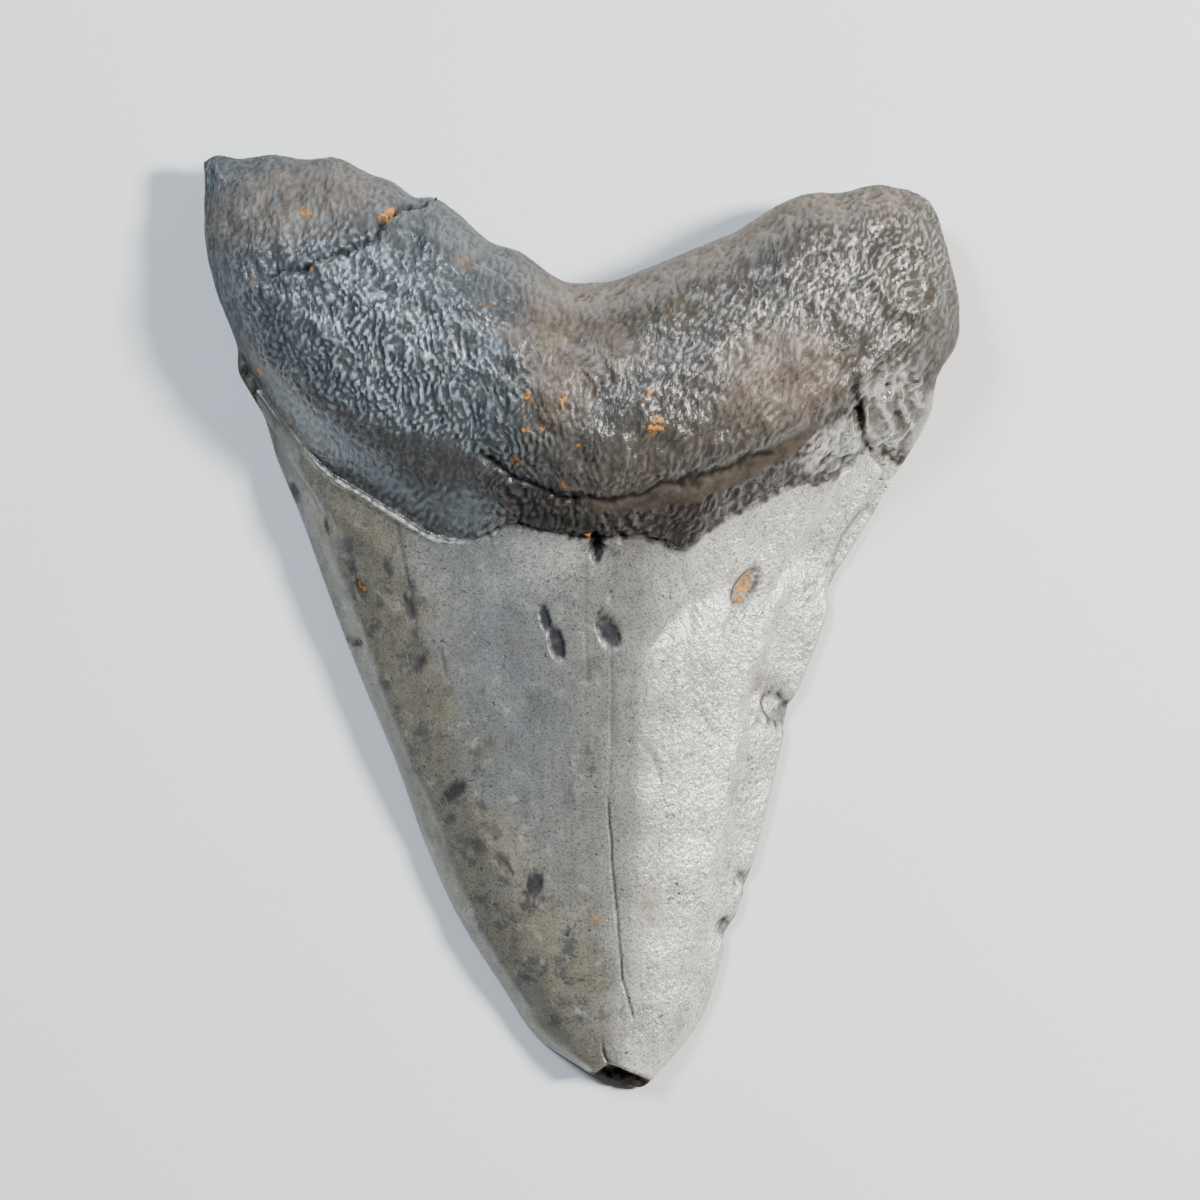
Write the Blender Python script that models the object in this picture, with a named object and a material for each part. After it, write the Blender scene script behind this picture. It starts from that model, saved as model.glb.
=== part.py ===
"""A fossil giant shark tooth, modelled as the one natural piece that it is.

The tooth lies on its labial (outer) face with its lingual (inner, domed) face up. +X runs from its left
root lobe to its right one, +Y from the broken tip to the root, and +Z up off the surface that it lies on.
The origin is under the middle of the tooth's box, on that surface.

Each face is a height over one plan grid. The grid runs across the tooth from its left edge (0) to its
right edge (1) and along it from the tip (0) to the root's basal margin (1). Its rows pass through the
tip's break, the enamel's upper edge, the foot of the root's swelling and the basal margin. The two faces
meet at the rim, which is a cutting edge on the crown and a round flank on the root. Lengths below are in
millimetres, and become metres when the mesh is made.
"""

import bpy
import numpy as np

MM = 0.001

# The four sides of the outline, as (x, y) in plan.
LEFT_EDGE = (
    (1.0, -56.9), (-4.2, -53.5), (-10.2, -45.6), (-15.5, -37.3), (-19.6, -28.3), (-23.6, -17.3),
    (-27.8, -7.3), (-32.0, 3.6), (-35.6, 13.6), (-38.4, 20.4), (-41.1, 28.2), (-43.3, 31.6),
    (-43.5, 34.8), (-45.9, 42.3), (-46.9, 46.7), (-47.1, 55.4), (-47.2, 57.7),
)
RIGHT_EDGE = (
    (9.1, -57.4), (12.3, -53.9), (14.8, -50.4), (16.8, -45.6), (18.1, -40.8), (19.5, -36.8),
    (21.9, -29.6), (24.5, -18.9), (25.6, -14.2), (27.3, -8.8), (29.9, -2.1), (31.2, 1.7),
    (31.2, 4.8), (33.5, 8.4), (37.0, 14.2), (38.8, 17.5), (41.3, 21.4), (43.9, 26.5),
    (44.9, 31.6), (46.7, 34.4), (47.3, 39.3), (46.4, 44.0), (45.6, 47.0), (44.6, 50.6),
)
BASAL_MARGIN = (
    (-47.2, 57.7), (-46.0, 58.4), (-42.8, 58.1), (-38.5, 58.6), (-34.6, 58.0), (-30.5, 58.2),
    (-26.4, 56.2), (-23.4, 55.1), (-21.1, 53.4), (-18.1, 53.1), (-15.5, 51.3), (-11.6, 47.8),
    (-7.4, 46.3), (-4.6, 44.2), (-2.2, 42.8), (0.4, 42.5), (4.1, 42.9), (7.9, 44.3),
    (15.4, 47.4), (19.1, 48.9), (22.5, 51.1), (28.2, 53.7), (32.0, 53.8), (37.2, 54.8),
    (40.0, 54.3), (42.3, 53.5), (43.8, 52.2), (44.6, 50.6),
)
TIP_BREAK = ((1.0, -56.9), (3.8, -57.9), (6.0, -58.6), (8.2, -58.3), (9.1, -57.4))

# Lines that cross the lingual face from edge to edge, as (x, y).
ENAMEL_LINE = (
    (-43.4, 34.2), (-40.0, 29.2), (-35.6, 23.4), (-32.1, 19.4), (-27.1, 16.1), (-22.8, 13.4),
    (-17.8, 10.6), (-13.4, 10.3), (-8.0, 12.1), (-4.6, 11.3), (1.0, 10.3), (8.5, 10.4),
    (12.6, 8.9), (16.6, 12.1), (21.3, 14.6), (27.3, 17.4), (31.6, 18.1), (34.3, 20.9), (40.5, 20.1),
)
SWELL_LINE = (
    (-44.2, 37.4), (-39.6, 32.4), (-27.8, 25.2), (-19.0, 22.4), (-12.8, 20.7), (-7.8, 17.9),
    (-2.8, 15.8), (2.3, 15.1), (8.5, 16.7), (17.3, 18.9), (24.8, 22.3), (33.5, 27.0), (45.6, 32.4),
)
ENAMEL_SHARE = 0.62
SWELL_SHARE = 0.72

# Bites out of the right cutting edge, as (y, half height, depth), which fade over the width's last part.
EDGE_NICKS = ((-11.4, 1.9, 1.1), (-32.4, 1.2, 0.6), (-38.9, 1.3, 0.7))
BITE_SHARE = 0.15

# Chips and pits in the crown's lingual face, as (x, y, half length, half width, turn in degrees, depth).
HOLLOWS = (
    (24.6, -10.8, 2.7, 2.4, 0, 0.7), (20.2, -31.9, 2.2, 1.0, 10, 0.45), (17.7, -38.3, 2.1, 1.2, 15, 0.5),
    (34.4, 10.5, 5.5, 2.0, 62, 0.5), (-3.8, -1.2, 3.6, 1.2, 108, 0.5), (3.3, -0.8, 2.8, 1.3, 116, 0.55),
    (20.4, 4.7, 2.9, 1.5, 54, 0.7), (1.8, 9.2, 2.0, 1.1, 95, 1.0),
)

# Heights of the lingual face above the surface that the tooth lies on. Each row crosses the tooth at
# one share of its length, and its values stand at the shares of its width in ACROSS.
ACROSS = (0.0, 0.12, 0.3, 0.5, 0.7, 0.88, 1.0)
LINGUAL_ROWS = (
    (0.00, (1.6, 3.2, 5.2, 6.0, 5.4, 3.6, 1.6)),
    (0.09, (1.8, 4.3, 6.6, 7.6, 6.8, 4.4, 1.8)),
    (0.24, (1.9, 5.2, 8.4, 9.5, 8.5, 5.4, 1.9)),
    (0.42, (2.0, 6.3, 10.1, 11.4, 10.3, 6.7, 2.0)),
    (0.56, (2.2, 7.4, 11.5, 13.0, 11.8, 8.0, 2.2)),
    (0.62, (2.6, 8.4, 12.6, 14.2, 13.1, 9.2, 2.8)),
    (0.67, (6.0, 12.2, 16.0, 17.4, 16.3, 12.8, 6.5)),
    (0.72, (9.5, 15.6, 19.6, 20.7, 19.8, 16.6, 10.2)),
    (0.81, (11.6, 17.8, 23.0, 25.2, 23.8, 19.6, 13.0)),
    (0.91, (12.4, 17.4, 21.8, 24.6, 23.2, 19.8, 13.8)),
    (1.00, (11.5, 15.0, 17.4, 18.4, 18.6, 17.0, 13.0)),
)

# Heights of the labial face, in the same way. What would fall under 0 lies flat on the surface.
LABIAL_ACROSS = (0.0, 0.15, 0.5, 0.85, 1.0)
LABIAL_ROWS = (
    (0.00, (1.0, 0.8, 0.6, 0.8, 1.0)),
    (0.20, (1.1, 0.5, -0.4, 0.5, 1.1)),
    (0.40, (1.2, 0.8, 0.3, 0.8, 1.2)),
    (0.62, (1.4, 1.0, 0.8, 1.0, 1.4)),
    (0.78, (1.4, 0.8, 1.4, 0.8, 1.4)),
    (0.93, (1.0, -0.5, 1.8, -0.5, 1.0)),
    (1.00, (1.6, 0.6, 2.4, 0.6, 1.6)),
)

# The rim: its height, and how far in from it each face takes to round over, by share of the length.
RIM_ALONG = (0.0, 0.58, 0.64, 0.70, 0.80, 0.92, 1.0)
RIM_HEIGHT = (1.2, 1.4, 2.0, 4.4, 6.6, 7.4, 7.4)
UPPER_ROUND = (0.8, 0.9, 1.4, 3.2, 4.8, 6.0, 6.2)
UNDER_ROUND = (0.7, 0.8, 1.2, 2.6, 4.2, 4.8, 5.0)

# The left lobe's worn facet lies past this line, and the crack splits a block off the right lobe.
FACET_LINE = ((-47.2, 38.6), (-42.8, 40.4), (-35.3, 43.3), (-24.6, 48.4), (-18.1, 53.1), (44.6, 98.0))
LOBE_CRACK = ((37.6, 19.6), (37.0, 20.4), (35.0, 22.9), (34.2, 25.6), (33.5, 27.9))
LOBE_RING = (40.4, 42.4)
RING_RADIUS = 4.2

# How far the enamel stands above the root beside it, by x: it is low outside the left groove.
ENAMEL_STEP = ((-47.0, -1.6), (-38.0, -1.2), (-35.4, 0.0), (-32.0, 0.8), (-18.0, 0.7), (-12.0, 0.0),
               (6.0, -0.1), (14.0, -0.6), (41.0, -0.8))
STEP_WIDTH = 1.2
STEP_REACH = 14.0
GROOVE_DEPTH = 1.1
GROOVE_HALF_WIDTH = 0.9
GROOVE_END = -33.0
GROOVE_FADE = 4.0
SWELL_FOLD = 0.7
SWELL_FOLD_HALF_WIDTH = 1.3
SWELL_FOLD_START = -14.0
SWELL_FOLD_FADE = 6.0

# The facet: its line leans, so a height over the line becomes a distance through the lean's cosine.
FACET_LEAN = 0.87
FACET_STEP = 0.9
FACET_FALL = 0.16
CRACK_DEPTH = 1.6
CRACK_HALF_WIDTH = 1.1
CRACK_FADE = 2.0
RING_HEIGHT = 0.6
RING_HALF_WIDTH = 1.2

# A hollow's side, by radius in shares of its own: it starts to fall at the first and ends at the second.
HOLLOW_TOP = 8 / 7
HOLLOW_FOOT = 3 / 7

# Lumps of the root, as two crossed waves: (radians a mm, bend, radians a mm of the bend) for x and y.
ROOT_LUMP = 0.35
LUMP_WAVES = ((0.55, 0.9, 0.31), (0.62, 0.7, 0.23))
LUMPS_START = 0.68
LUMPS_FADE = 0.1

# The break at the tip: the enamel ends at this line, and past it the broken dentine lies low.
BREAK_LINE = ((0.4, -57.0), (1.3, -56.7), (2.3, -56.0), (3.5, -55.3), (4.8, -55.7), (5.8, -56.2),
              (7.3, -56.8), (9.2, -57.5))
BREAK_HEIGHT = 1.9
BREAK_RISE = 0.5
BREAK_FADE = 0.9
LEAST_ABOVE_RIM = 0.2

# The low ledge on the labial face: its place at x = 0, how it curves up to both sides, and the heights
# between which it fades in, so that the parts that rest on the surface stay flat.
LABIAL_LEDGE = 0.5
LABIAL_LEDGE_AT = 20.0
LABIAL_LEDGE_CURVE = 0.004
LABIAL_LEDGE_CLEAR = 0.3
LABIAL_LEDGE_FADE = 0.6

# The mesh: cells across it, and spans along it as (from, to, rows). The labial face has half of each.
COLUMNS = 56
FLANK_COLUMNS = 6
FLANK_SHARE = 0.055
ROW_SPANS = ((0.0, 0.03, 4), (0.03, 0.607, 28), (0.607, 0.635, 4), (0.635, 0.72, 6), (0.72, 0.925, 18))
BASAL_ROWS = 8
STRIDE = 2

TOOTH_COLOUR = (0.16, 0.15, 0.135, 1.0)
TOOTH_ROUGHNESS = 0.42


def smooth_through(knots, values, at):
    """A smooth curve through the values at the knots, with each slope that of its three nearest points."""
    knots, values, at = (np.asarray(a, float) for a in (knots, values, at))
    column = (-1,) + (1,) * (values.ndim - 1)
    step = np.diff(knots).reshape(column)
    slope = np.diff(values, axis=0) / step
    inner = (step[1:] * slope[:-1] + step[:-1] * slope[1:]) / (step[1:] + step[:-1])
    slopes = np.concatenate([slope[:1], inner, slope[-1:]])
    cell = np.clip(np.searchsorted(knots, at, side="right") - 1, 0, len(knots) - 2)
    width = np.diff(knots)[cell]
    t = np.clip((at - knots[cell]) / width, 0.0, 1.0)
    if values.ndim > 1:
        t, width = t[:, None], width[:, None]
    return (
        (2 * t**3 - 3 * t**2 + 1) * values[cell]
        + (t**3 - 2 * t**2 + t) * width * slopes[cell]
        + (3 * t**2 - 2 * t**3) * values[cell + 1]
        + (t**3 - t**2) * width * slopes[cell + 1]
    )


def height_of(line, x):
    """The y of a line given as (x, y) points, at each x."""
    return smooth_through([p[0] for p in line], [p[1] for p in line], x)


def place_of(line, y):
    """The x of a line given as (x, y) points, at each y."""
    return smooth_through([p[1] for p in line], [p[0] for p in line], y)


def ramp(t):
    """0 below 0 and 1 above 1, with a smooth rise between."""
    t = np.clip(t, 0.0, 1.0)
    return t * t * (3 - 2 * t)


def bell(t):
    """1 at 0, falling smoothly to nothing by about 2."""
    return np.exp(-t * t)


def quarter_round(distance, radius):
    """The rise of a quarter circle: 0 at the rim and 1 from one radius in."""
    return np.sqrt(1 - (1 - np.clip(distance / radius, 0.0, 1.0)) ** 2)


def nicked(y):
    """How far the right edge is bitten in at each y."""
    return sum(depth * bell((y - at) / half) for at, half, depth in EDGE_NICKS)


def edge_spaced(count, edge_count, edge_share):
    """Shares from 0 to 1 that crowd towards both ends as points on a quarter circle do."""
    angles = np.linspace(0, np.pi / 2, edge_count + 1)
    edge = edge_share * (1 - np.cos(angles))
    middle = np.linspace(edge_share, 1 - edge_share, count - 2 * edge_count + 1)
    return np.concatenate([edge[:-1], middle, (1 - edge[:-1])[::-1]])


def along_spaced():
    """Shares of the length: the spans' even rows, then rows that crowd to the basal margin."""
    spans = [np.linspace(low, high, rows, endpoint=False) for low, high, rows in ROW_SPANS]
    start = ROW_SPANS[-1][1]
    angles = np.linspace(0, np.pi / 2, BASAL_ROWS + 1)
    return np.concatenate(spans + [start + (1 - start) * np.sin(angles)])


def plan(across, along):
    """x and y of the grid: even across from edge to edge, and through the crossing lines on the way up."""
    lines = (TIP_BREAK, ENAMEL_LINE, SWELL_LINE, BASAL_MARGIN)
    shares = (0.0, ENAMEL_SHARE, SWELL_SHARE, 1.0)
    crossings = [
        height_of(line, line[0][0] + across * (line[-1][0] - line[0][0])) for line in lines
    ]
    y = smooth_through(shares, crossings, along)
    left_x = place_of(LEFT_EDGE, y[:, 0])
    right_x = place_of(RIGHT_EDGE, y[:, -1])
    x = left_x[:, None] + across * (right_x - left_x)[:, None]
    return x - nicked(y[:, -1])[:, None] * ramp((across - 1) / BITE_SHARE + 1), y


def rim_of(grid):
    """The grid's own edge, once round, from a grid of points."""
    return np.concatenate([grid[0, :-1], grid[:-1, -1], grid[-1, :0:-1], grid[:0:-1, 0]])


def distance_to(line, points):
    """How far each point is from the nearest stretch of a closed line."""
    ends = np.roll(line, -1, axis=0)
    nearest = np.full(points.shape[:-1], np.inf)
    for start, end in zip(line, ends):
        run = end - start
        share = np.clip((points - start) @ run / (run @ run), 0.0, 1.0)
        nearest = np.minimum(nearest, np.linalg.norm(points - start - share[..., None] * run, axis=-1))
    return nearest


def face_heights(rows, stations, across, along):
    """A face lofted through its rows of heights."""
    table = np.array([heights for _, heights in rows])
    crossed = smooth_through(stations, table.T, across).T
    return smooth_through([share for share, _ in rows], crossed, along)


def enamel_relief(x, y):
    """The ledge along the enamel's edge, the groove at its left end, and the fold under the swelling."""
    past_enamel = y - height_of(ENAMEL_LINE, x)
    past_swell = y - height_of(SWELL_LINE, x)
    step = height_of(ENAMEL_STEP, x) * ramp(0.5 - past_enamel / STEP_WIDTH)
    step = step * bell(np.minimum(past_enamel, 0.0) / STEP_REACH)
    groove = GROOVE_DEPTH * bell(past_enamel / GROOVE_HALF_WIDTH) * ramp((GROOVE_END - x) / GROOVE_FADE)
    fold = SWELL_FOLD * bell(past_swell / SWELL_FOLD_HALF_WIDTH)
    fold = fold * ramp((x - SWELL_FOLD_START) / SWELL_FOLD_FADE)
    return step - groove - fold


def facet_relief(x, y):
    """The worn flat on the left lobe, which drops off a low step and slopes to the lobe's end."""
    past = (y - height_of(FACET_LINE, x)) * FACET_LEAN
    return -FACET_STEP * ramp(past) - FACET_FALL * np.maximum(past, 0.0)


def crack_relief(x, y):
    """The open crack between the right lobe's lower block and the rest of the root."""
    low, high = LOBE_CRACK[0][1], LOBE_CRACK[-1][1]
    window = ramp((y - low) / CRACK_FADE + 0.5) * ramp((high - y) / CRACK_FADE + 0.5)
    return -CRACK_DEPTH * bell((x - place_of(LOBE_CRACK, y)) / CRACK_HALF_WIDTH) * window


def hollow_relief(x, y):
    """The chips and pits, as turned elliptical dips with flat middles."""
    relief = np.zeros_like(x)
    for at_x, at_y, half_length, half_width, turn, depth in HOLLOWS:
        cos, sin = np.cos(np.radians(turn)), np.sin(np.radians(turn))
        across = ((x - at_x) * cos + (y - at_y) * sin) / half_length
        aside = ((y - at_y) * cos - (x - at_x) * sin) / half_width
        relief -= depth * ramp((HOLLOW_TOP - np.hypot(across, aside)) / (HOLLOW_TOP - HOLLOW_FOOT))
    return relief


def root_relief(x, y, along):
    """Low lumps over the root, as two crossed waves that fade out on the crown, and the lobe's ring."""
    (rate_x, bend_x, slow_y), (rate_y, bend_y, slow_x) = LUMP_WAVES
    waves = np.sin(x * rate_x + bend_x * np.sin(y * slow_y))
    waves = waves * np.sin(y * rate_y + bend_y * np.sin(x * slow_x))
    ring = bell((np.hypot(x - LOBE_RING[0], y - LOBE_RING[1]) - RING_RADIUS) / RING_HALF_WIDTH)
    return ROOT_LUMP * waves * ramp((along[:, None] - LUMPS_START) / LUMPS_FADE) + RING_HEIGHT * ring


def lingual_face(across, along, x, y, inwards):
    """Heights of the upper face, with its relief, rounded over at the rim and cut by the tip's break."""
    rim = smooth_through(RIM_ALONG, RIM_HEIGHT, along)[:, None]
    rounding = quarter_round(inwards, smooth_through(RIM_ALONG, UPPER_ROUND, along)[:, None])
    heights = face_heights(LINGUAL_ROWS, ACROSS, across, along)
    heights = heights + enamel_relief(x, y) + facet_relief(x, y) + crack_relief(x, y)
    heights = heights + hollow_relief(x, y) + root_relief(x, y, along)
    broken = BREAK_HEIGHT + BREAK_RISE * np.hypot(x - x[:1], y - y[:1])
    kept = ramp((y - height_of(BREAK_LINE, x)) / BREAK_FADE + 0.5)
    heights = np.minimum(heights, broken + (heights - broken) * kept)
    return rim + (np.maximum(heights, rim + LEAST_ABOVE_RIM) - rim) * rounding


def labial_face(across, along, x, y, inwards):
    """Heights of the lower face, which ends flat where it touches the surface."""
    rim = smooth_through(RIM_ALONG, RIM_HEIGHT, along)[:, None]
    rounding = quarter_round(inwards, smooth_through(RIM_ALONG, UNDER_ROUND, along)[:, None])
    heights = face_heights(LABIAL_ROWS, LABIAL_ACROSS, across, along)
    ledge = LABIAL_LEDGE * ramp((y - LABIAL_LEDGE_AT - LABIAL_LEDGE_CURVE * x * x) / STEP_WIDTH)
    heights = heights + ledge * ramp((heights - LABIAL_LEDGE_CLEAR) / LABIAL_LEDGE_FADE)
    return np.maximum(rim - (rim - heights) * rounding, 0.0)


def closed_faces(top, under):
    """Faces of both sheets. The lower sheet's outer cells also take in the rim points that it skips."""
    def cells(grid):
        return np.stack([grid[:-1, :-1], grid[:-1, 1:], grid[1:, 1:], grid[1:, :-1]], axis=-1)

    faces = cells(top).reshape(-1, 4).tolist()
    faces += cells(under[1:-1, 1:-1])[..., ::-1].reshape(-1, 4).tolist()
    rows, columns = under.shape[0] - 1, under.shape[1] - 1
    for i in range(rows):
        for j in range(columns):
            if 0 < i < rows - 1 and 0 < j < columns - 1:
                continue
            faces.append(border_cell(top, under, i, j, rows, columns)[::-1])
    return faces


def border_cell(top, under, i, j, rows, columns):
    """One outer cell of the lower sheet, as its corners with the rim's own points between them."""
    low, high = i * STRIDE, (i + 1) * STRIDE
    left, right = j * STRIDE, (j + 1) * STRIDE
    tip_side = top[0, left:right] if i == 0 else under[i, j:j + 1]
    right_side = top[low:high, -1] if j == columns - 1 else under[i:i + 1, j + 1]
    root_side = top[-1, right:left:-1] if i == rows - 1 else under[i + 1, j + 1:j + 2]
    left_side = top[high:low:-1, 0] if j == 0 else under[i + 1:i + 2, j]
    return [int(n) for n in np.concatenate([tip_side, right_side, root_side, left_side])]


def make_tooth():
    """The whole tooth as one closed mesh."""
    across, along = edge_spaced(COLUMNS, FLANK_COLUMNS, FLANK_SHARE), along_spaced()
    x, y = plan(across, along)
    flat = np.stack([x, y], axis=-1)
    inwards = distance_to(rim_of(flat), flat)
    upper = np.stack([x, y, lingual_face(across, along, x, y, inwards)], axis=-1)
    lower_heights = labial_face(across, along, x, y, inwards)
    lower = np.stack([x, y, lower_heights], axis=-1)[::STRIDE, ::STRIDE]

    top = np.arange(x.size).reshape(x.shape)
    under = top[::STRIDE, ::STRIDE].copy()
    inner = under[1:-1, 1:-1]
    under[1:-1, 1:-1] = x.size + np.arange(inner.size).reshape(inner.shape)
    points = np.concatenate([upper.reshape(-1, 3), lower[1:-1, 1:-1].reshape(-1, 3)])
    points[:, :2] -= (points[:, :2].min(axis=0) + points[:, :2].max(axis=0)) / 2

    mesh = bpy.data.meshes.new("tooth")
    mesh.from_pydata((points * MM).tolist(), [], closed_faces(top, under))
    mesh.validate()
    mesh.shade_smooth()
    tooth = bpy.data.objects.new("tooth", mesh)
    bpy.context.scene.collection.objects.link(tooth)
    return tooth


def fossil_material():
    """Grey-brown mineralised root and enamel, with a low natural polish."""
    material = bpy.data.materials.new("fossil tooth")
    material.use_nodes = True
    shader = material.node_tree.nodes["Principled BSDF"]
    shader.inputs["Base Color"].default_value = TOOTH_COLOUR
    shader.inputs["Roughness"].default_value = TOOTH_ROUGHNESS
    shader.inputs["Metallic"].default_value = 0.0
    return material


def main():
    for old in list(bpy.data.objects):
        bpy.data.objects.remove(old)
    tooth = make_tooth()
    tooth.data.materials.append(fossil_material())


main()
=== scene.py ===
"""The finished look of a fossil giant shark tooth that lies on its flatter face under studio light."""
import functools

import bpy
import numpy as np
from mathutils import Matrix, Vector


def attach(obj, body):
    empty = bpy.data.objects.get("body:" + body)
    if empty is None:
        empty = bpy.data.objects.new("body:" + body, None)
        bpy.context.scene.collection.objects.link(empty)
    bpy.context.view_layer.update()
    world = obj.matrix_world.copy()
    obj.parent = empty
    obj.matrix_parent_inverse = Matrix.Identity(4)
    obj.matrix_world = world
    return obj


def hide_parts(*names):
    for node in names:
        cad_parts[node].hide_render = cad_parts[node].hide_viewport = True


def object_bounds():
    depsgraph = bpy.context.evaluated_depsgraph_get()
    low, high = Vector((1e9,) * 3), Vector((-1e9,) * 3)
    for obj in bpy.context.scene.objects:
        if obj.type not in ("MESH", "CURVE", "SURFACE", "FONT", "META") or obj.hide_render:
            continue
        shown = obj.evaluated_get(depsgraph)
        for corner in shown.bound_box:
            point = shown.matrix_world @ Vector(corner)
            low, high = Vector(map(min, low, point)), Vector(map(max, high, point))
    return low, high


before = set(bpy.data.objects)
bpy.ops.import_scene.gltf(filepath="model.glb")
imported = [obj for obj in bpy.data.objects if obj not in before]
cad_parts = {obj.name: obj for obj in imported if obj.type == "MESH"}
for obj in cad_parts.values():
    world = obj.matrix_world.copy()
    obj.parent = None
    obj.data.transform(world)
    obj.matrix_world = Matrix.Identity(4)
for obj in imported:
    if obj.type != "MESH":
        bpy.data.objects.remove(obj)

bl_info = {
    "name": "Fossil Shark Tooth",
    "version": (1, 0, 0),
    "blender": (4, 5, 0),
    "location": "View3D > Sidebar > Tooth",
    "description": "Builds the dressed fossil tooth and its studio around the packed model",
    "category": "Object",
}

CAD_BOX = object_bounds()
MM = 0.001

# The outline in plan, in millimetres, as (x, y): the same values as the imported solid's.
LEFT_EDGE = (
    (1.0, -56.9), (-4.2, -53.5), (-10.2, -45.6), (-15.5, -37.3), (-19.6, -28.3), (-23.6, -17.3),
    (-27.8, -7.3), (-32.0, 3.6), (-35.6, 13.6), (-38.4, 20.4), (-41.1, 28.2), (-43.3, 31.6),
    (-43.5, 34.8), (-45.9, 42.3), (-46.9, 46.7), (-47.1, 55.4), (-47.2, 57.7),
)
RIGHT_EDGE = (
    (9.1, -57.4), (12.3, -53.9), (14.8, -50.4), (16.8, -45.6), (18.1, -40.8), (19.5, -36.8),
    (21.9, -29.6), (24.5, -18.9), (25.6, -14.2), (27.3, -8.8), (29.9, -2.1), (31.2, 1.7),
    (31.2, 4.8), (33.5, 8.4), (37.0, 14.2), (38.8, 17.5), (41.3, 21.4), (43.9, 26.5),
    (44.9, 31.6), (46.7, 34.4), (47.3, 39.3), (46.4, 44.0), (45.6, 47.0), (44.6, 50.6),
)
BASAL_MARGIN = (
    (-47.2, 57.7), (-46.0, 58.4), (-42.8, 58.1), (-38.5, 58.6), (-34.6, 58.0), (-30.5, 58.2),
    (-26.4, 56.2), (-23.4, 55.1), (-21.1, 53.4), (-18.1, 53.1), (-15.5, 51.3), (-11.6, 47.8),
    (-7.4, 46.3), (-4.6, 44.2), (-2.2, 42.8), (0.4, 42.5), (4.1, 42.9), (7.9, 44.3),
    (15.4, 47.4), (19.1, 48.9), (22.5, 51.1), (28.2, 53.7), (32.0, 53.8), (37.2, 54.8),
    (40.0, 54.3), (42.3, 53.5), (43.8, 52.2), (44.6, 50.6),
)
TIP_BREAK = ((1.0, -56.9), (3.8, -57.9), (6.0, -58.6), (8.2, -58.3), (9.1, -57.4))
ENAMEL_LINE = (
    (-43.4, 34.2), (-40.0, 29.2), (-35.6, 23.4), (-32.1, 19.4), (-27.1, 16.1), (-22.8, 13.4),
    (-17.8, 10.6), (-13.4, 10.3), (-8.0, 12.1), (-4.6, 11.3), (1.0, 10.3), (8.5, 10.4),
    (12.6, 8.9), (16.6, 12.1), (21.3, 14.6), (27.3, 17.4), (31.6, 18.1), (34.3, 20.9), (40.5, 20.1),
)
SWELL_LINE = (
    (-44.2, 37.4), (-39.6, 32.4), (-27.8, 25.2), (-19.0, 22.4), (-12.8, 20.7), (-7.8, 17.9),
    (-2.8, 15.8), (2.3, 15.1), (8.5, 16.7), (17.3, 18.9), (24.8, 22.3), (33.5, 27.0), (45.6, 32.4),
)
ENAMEL_SHARE = 0.62
SWELL_SHARE = 0.72
EDGE_NICKS = ((-11.4, 1.9, 1.1), (-32.4, 1.2, 0.6), (-38.9, 1.3, 0.7))
BITE_SHARE = 0.15
BREAK_LINE = ((0.4, -57.0), (1.3, -56.7), (2.3, -56.0), (3.5, -55.3), (4.8, -55.7), (5.8, -56.2),
              (7.3, -56.8), (9.2, -57.5))

# Heights of both faces in millimetres: each row is (share of the length, heights across).
ACROSS = (0.0, 0.12, 0.3, 0.5, 0.7, 0.88, 1.0)
LINGUAL_ROWS = (
    (0.0, (1.6, 3.2, 5.2, 6.0, 5.4, 3.6, 1.6)),
    (0.09, (1.8, 4.3, 6.6, 7.6, 6.8, 4.4, 1.8)),
    (0.24, (1.9, 5.2, 8.4, 9.5, 8.5, 5.4, 1.9)),
    (0.42, (2.0, 6.3, 10.1, 11.4, 10.3, 6.7, 2.0)),
    (0.56, (2.2, 7.4, 11.5, 13.0, 11.8, 8.0, 2.2)),
    (0.62, (2.6, 8.4, 12.6, 14.2, 13.1, 9.2, 2.8)),
    (0.67, (6.0, 12.2, 16.0, 17.4, 16.3, 12.8, 6.5)),
    (0.72, (9.5, 15.6, 19.6, 20.7, 19.8, 16.6, 10.2)),
    (0.81, (11.6, 17.8, 23.0, 25.2, 23.8, 19.6, 13.0)),
    (0.91, (12.4, 17.4, 21.8, 24.6, 23.2, 19.8, 13.8)),
    (1.0, (11.5, 15.0, 17.4, 18.4, 18.6, 17.0, 13.0)),
)
LABIAL_ACROSS = (0.0, 0.15, 0.5, 0.85, 1.0)
LABIAL_ROWS = (
    (0.0, (1.0, 0.8, 0.6, 0.8, 1.0)),
    (0.2, (1.1, 0.5, -0.4, 0.5, 1.1)),
    (0.4, (1.2, 0.8, 0.3, 0.8, 1.2)),
    (0.62, (1.4, 1.0, 0.8, 1.0, 1.4)),
    (0.78, (1.4, 0.8, 1.4, 0.8, 1.4)),
    (0.93, (1.0, -0.5, 1.8, -0.5, 1.0)),
    (1.0, (1.6, 0.6, 2.4, 0.6, 1.6)),
)
RIM_ALONG = (0.0, 0.58, 0.64, 0.7, 0.8, 0.92, 1.0)
RIM_HEIGHT = (1.2, 1.4, 2.0, 4.4, 6.6, 7.4, 7.4)
UPPER_ROUND = (0.8, 0.9, 1.4, 3.2, 4.8, 6.0, 6.2)
UNDER_ROUND = (0.7, 0.8, 1.2, 2.6, 4.2, 4.8, 5.0)

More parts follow.
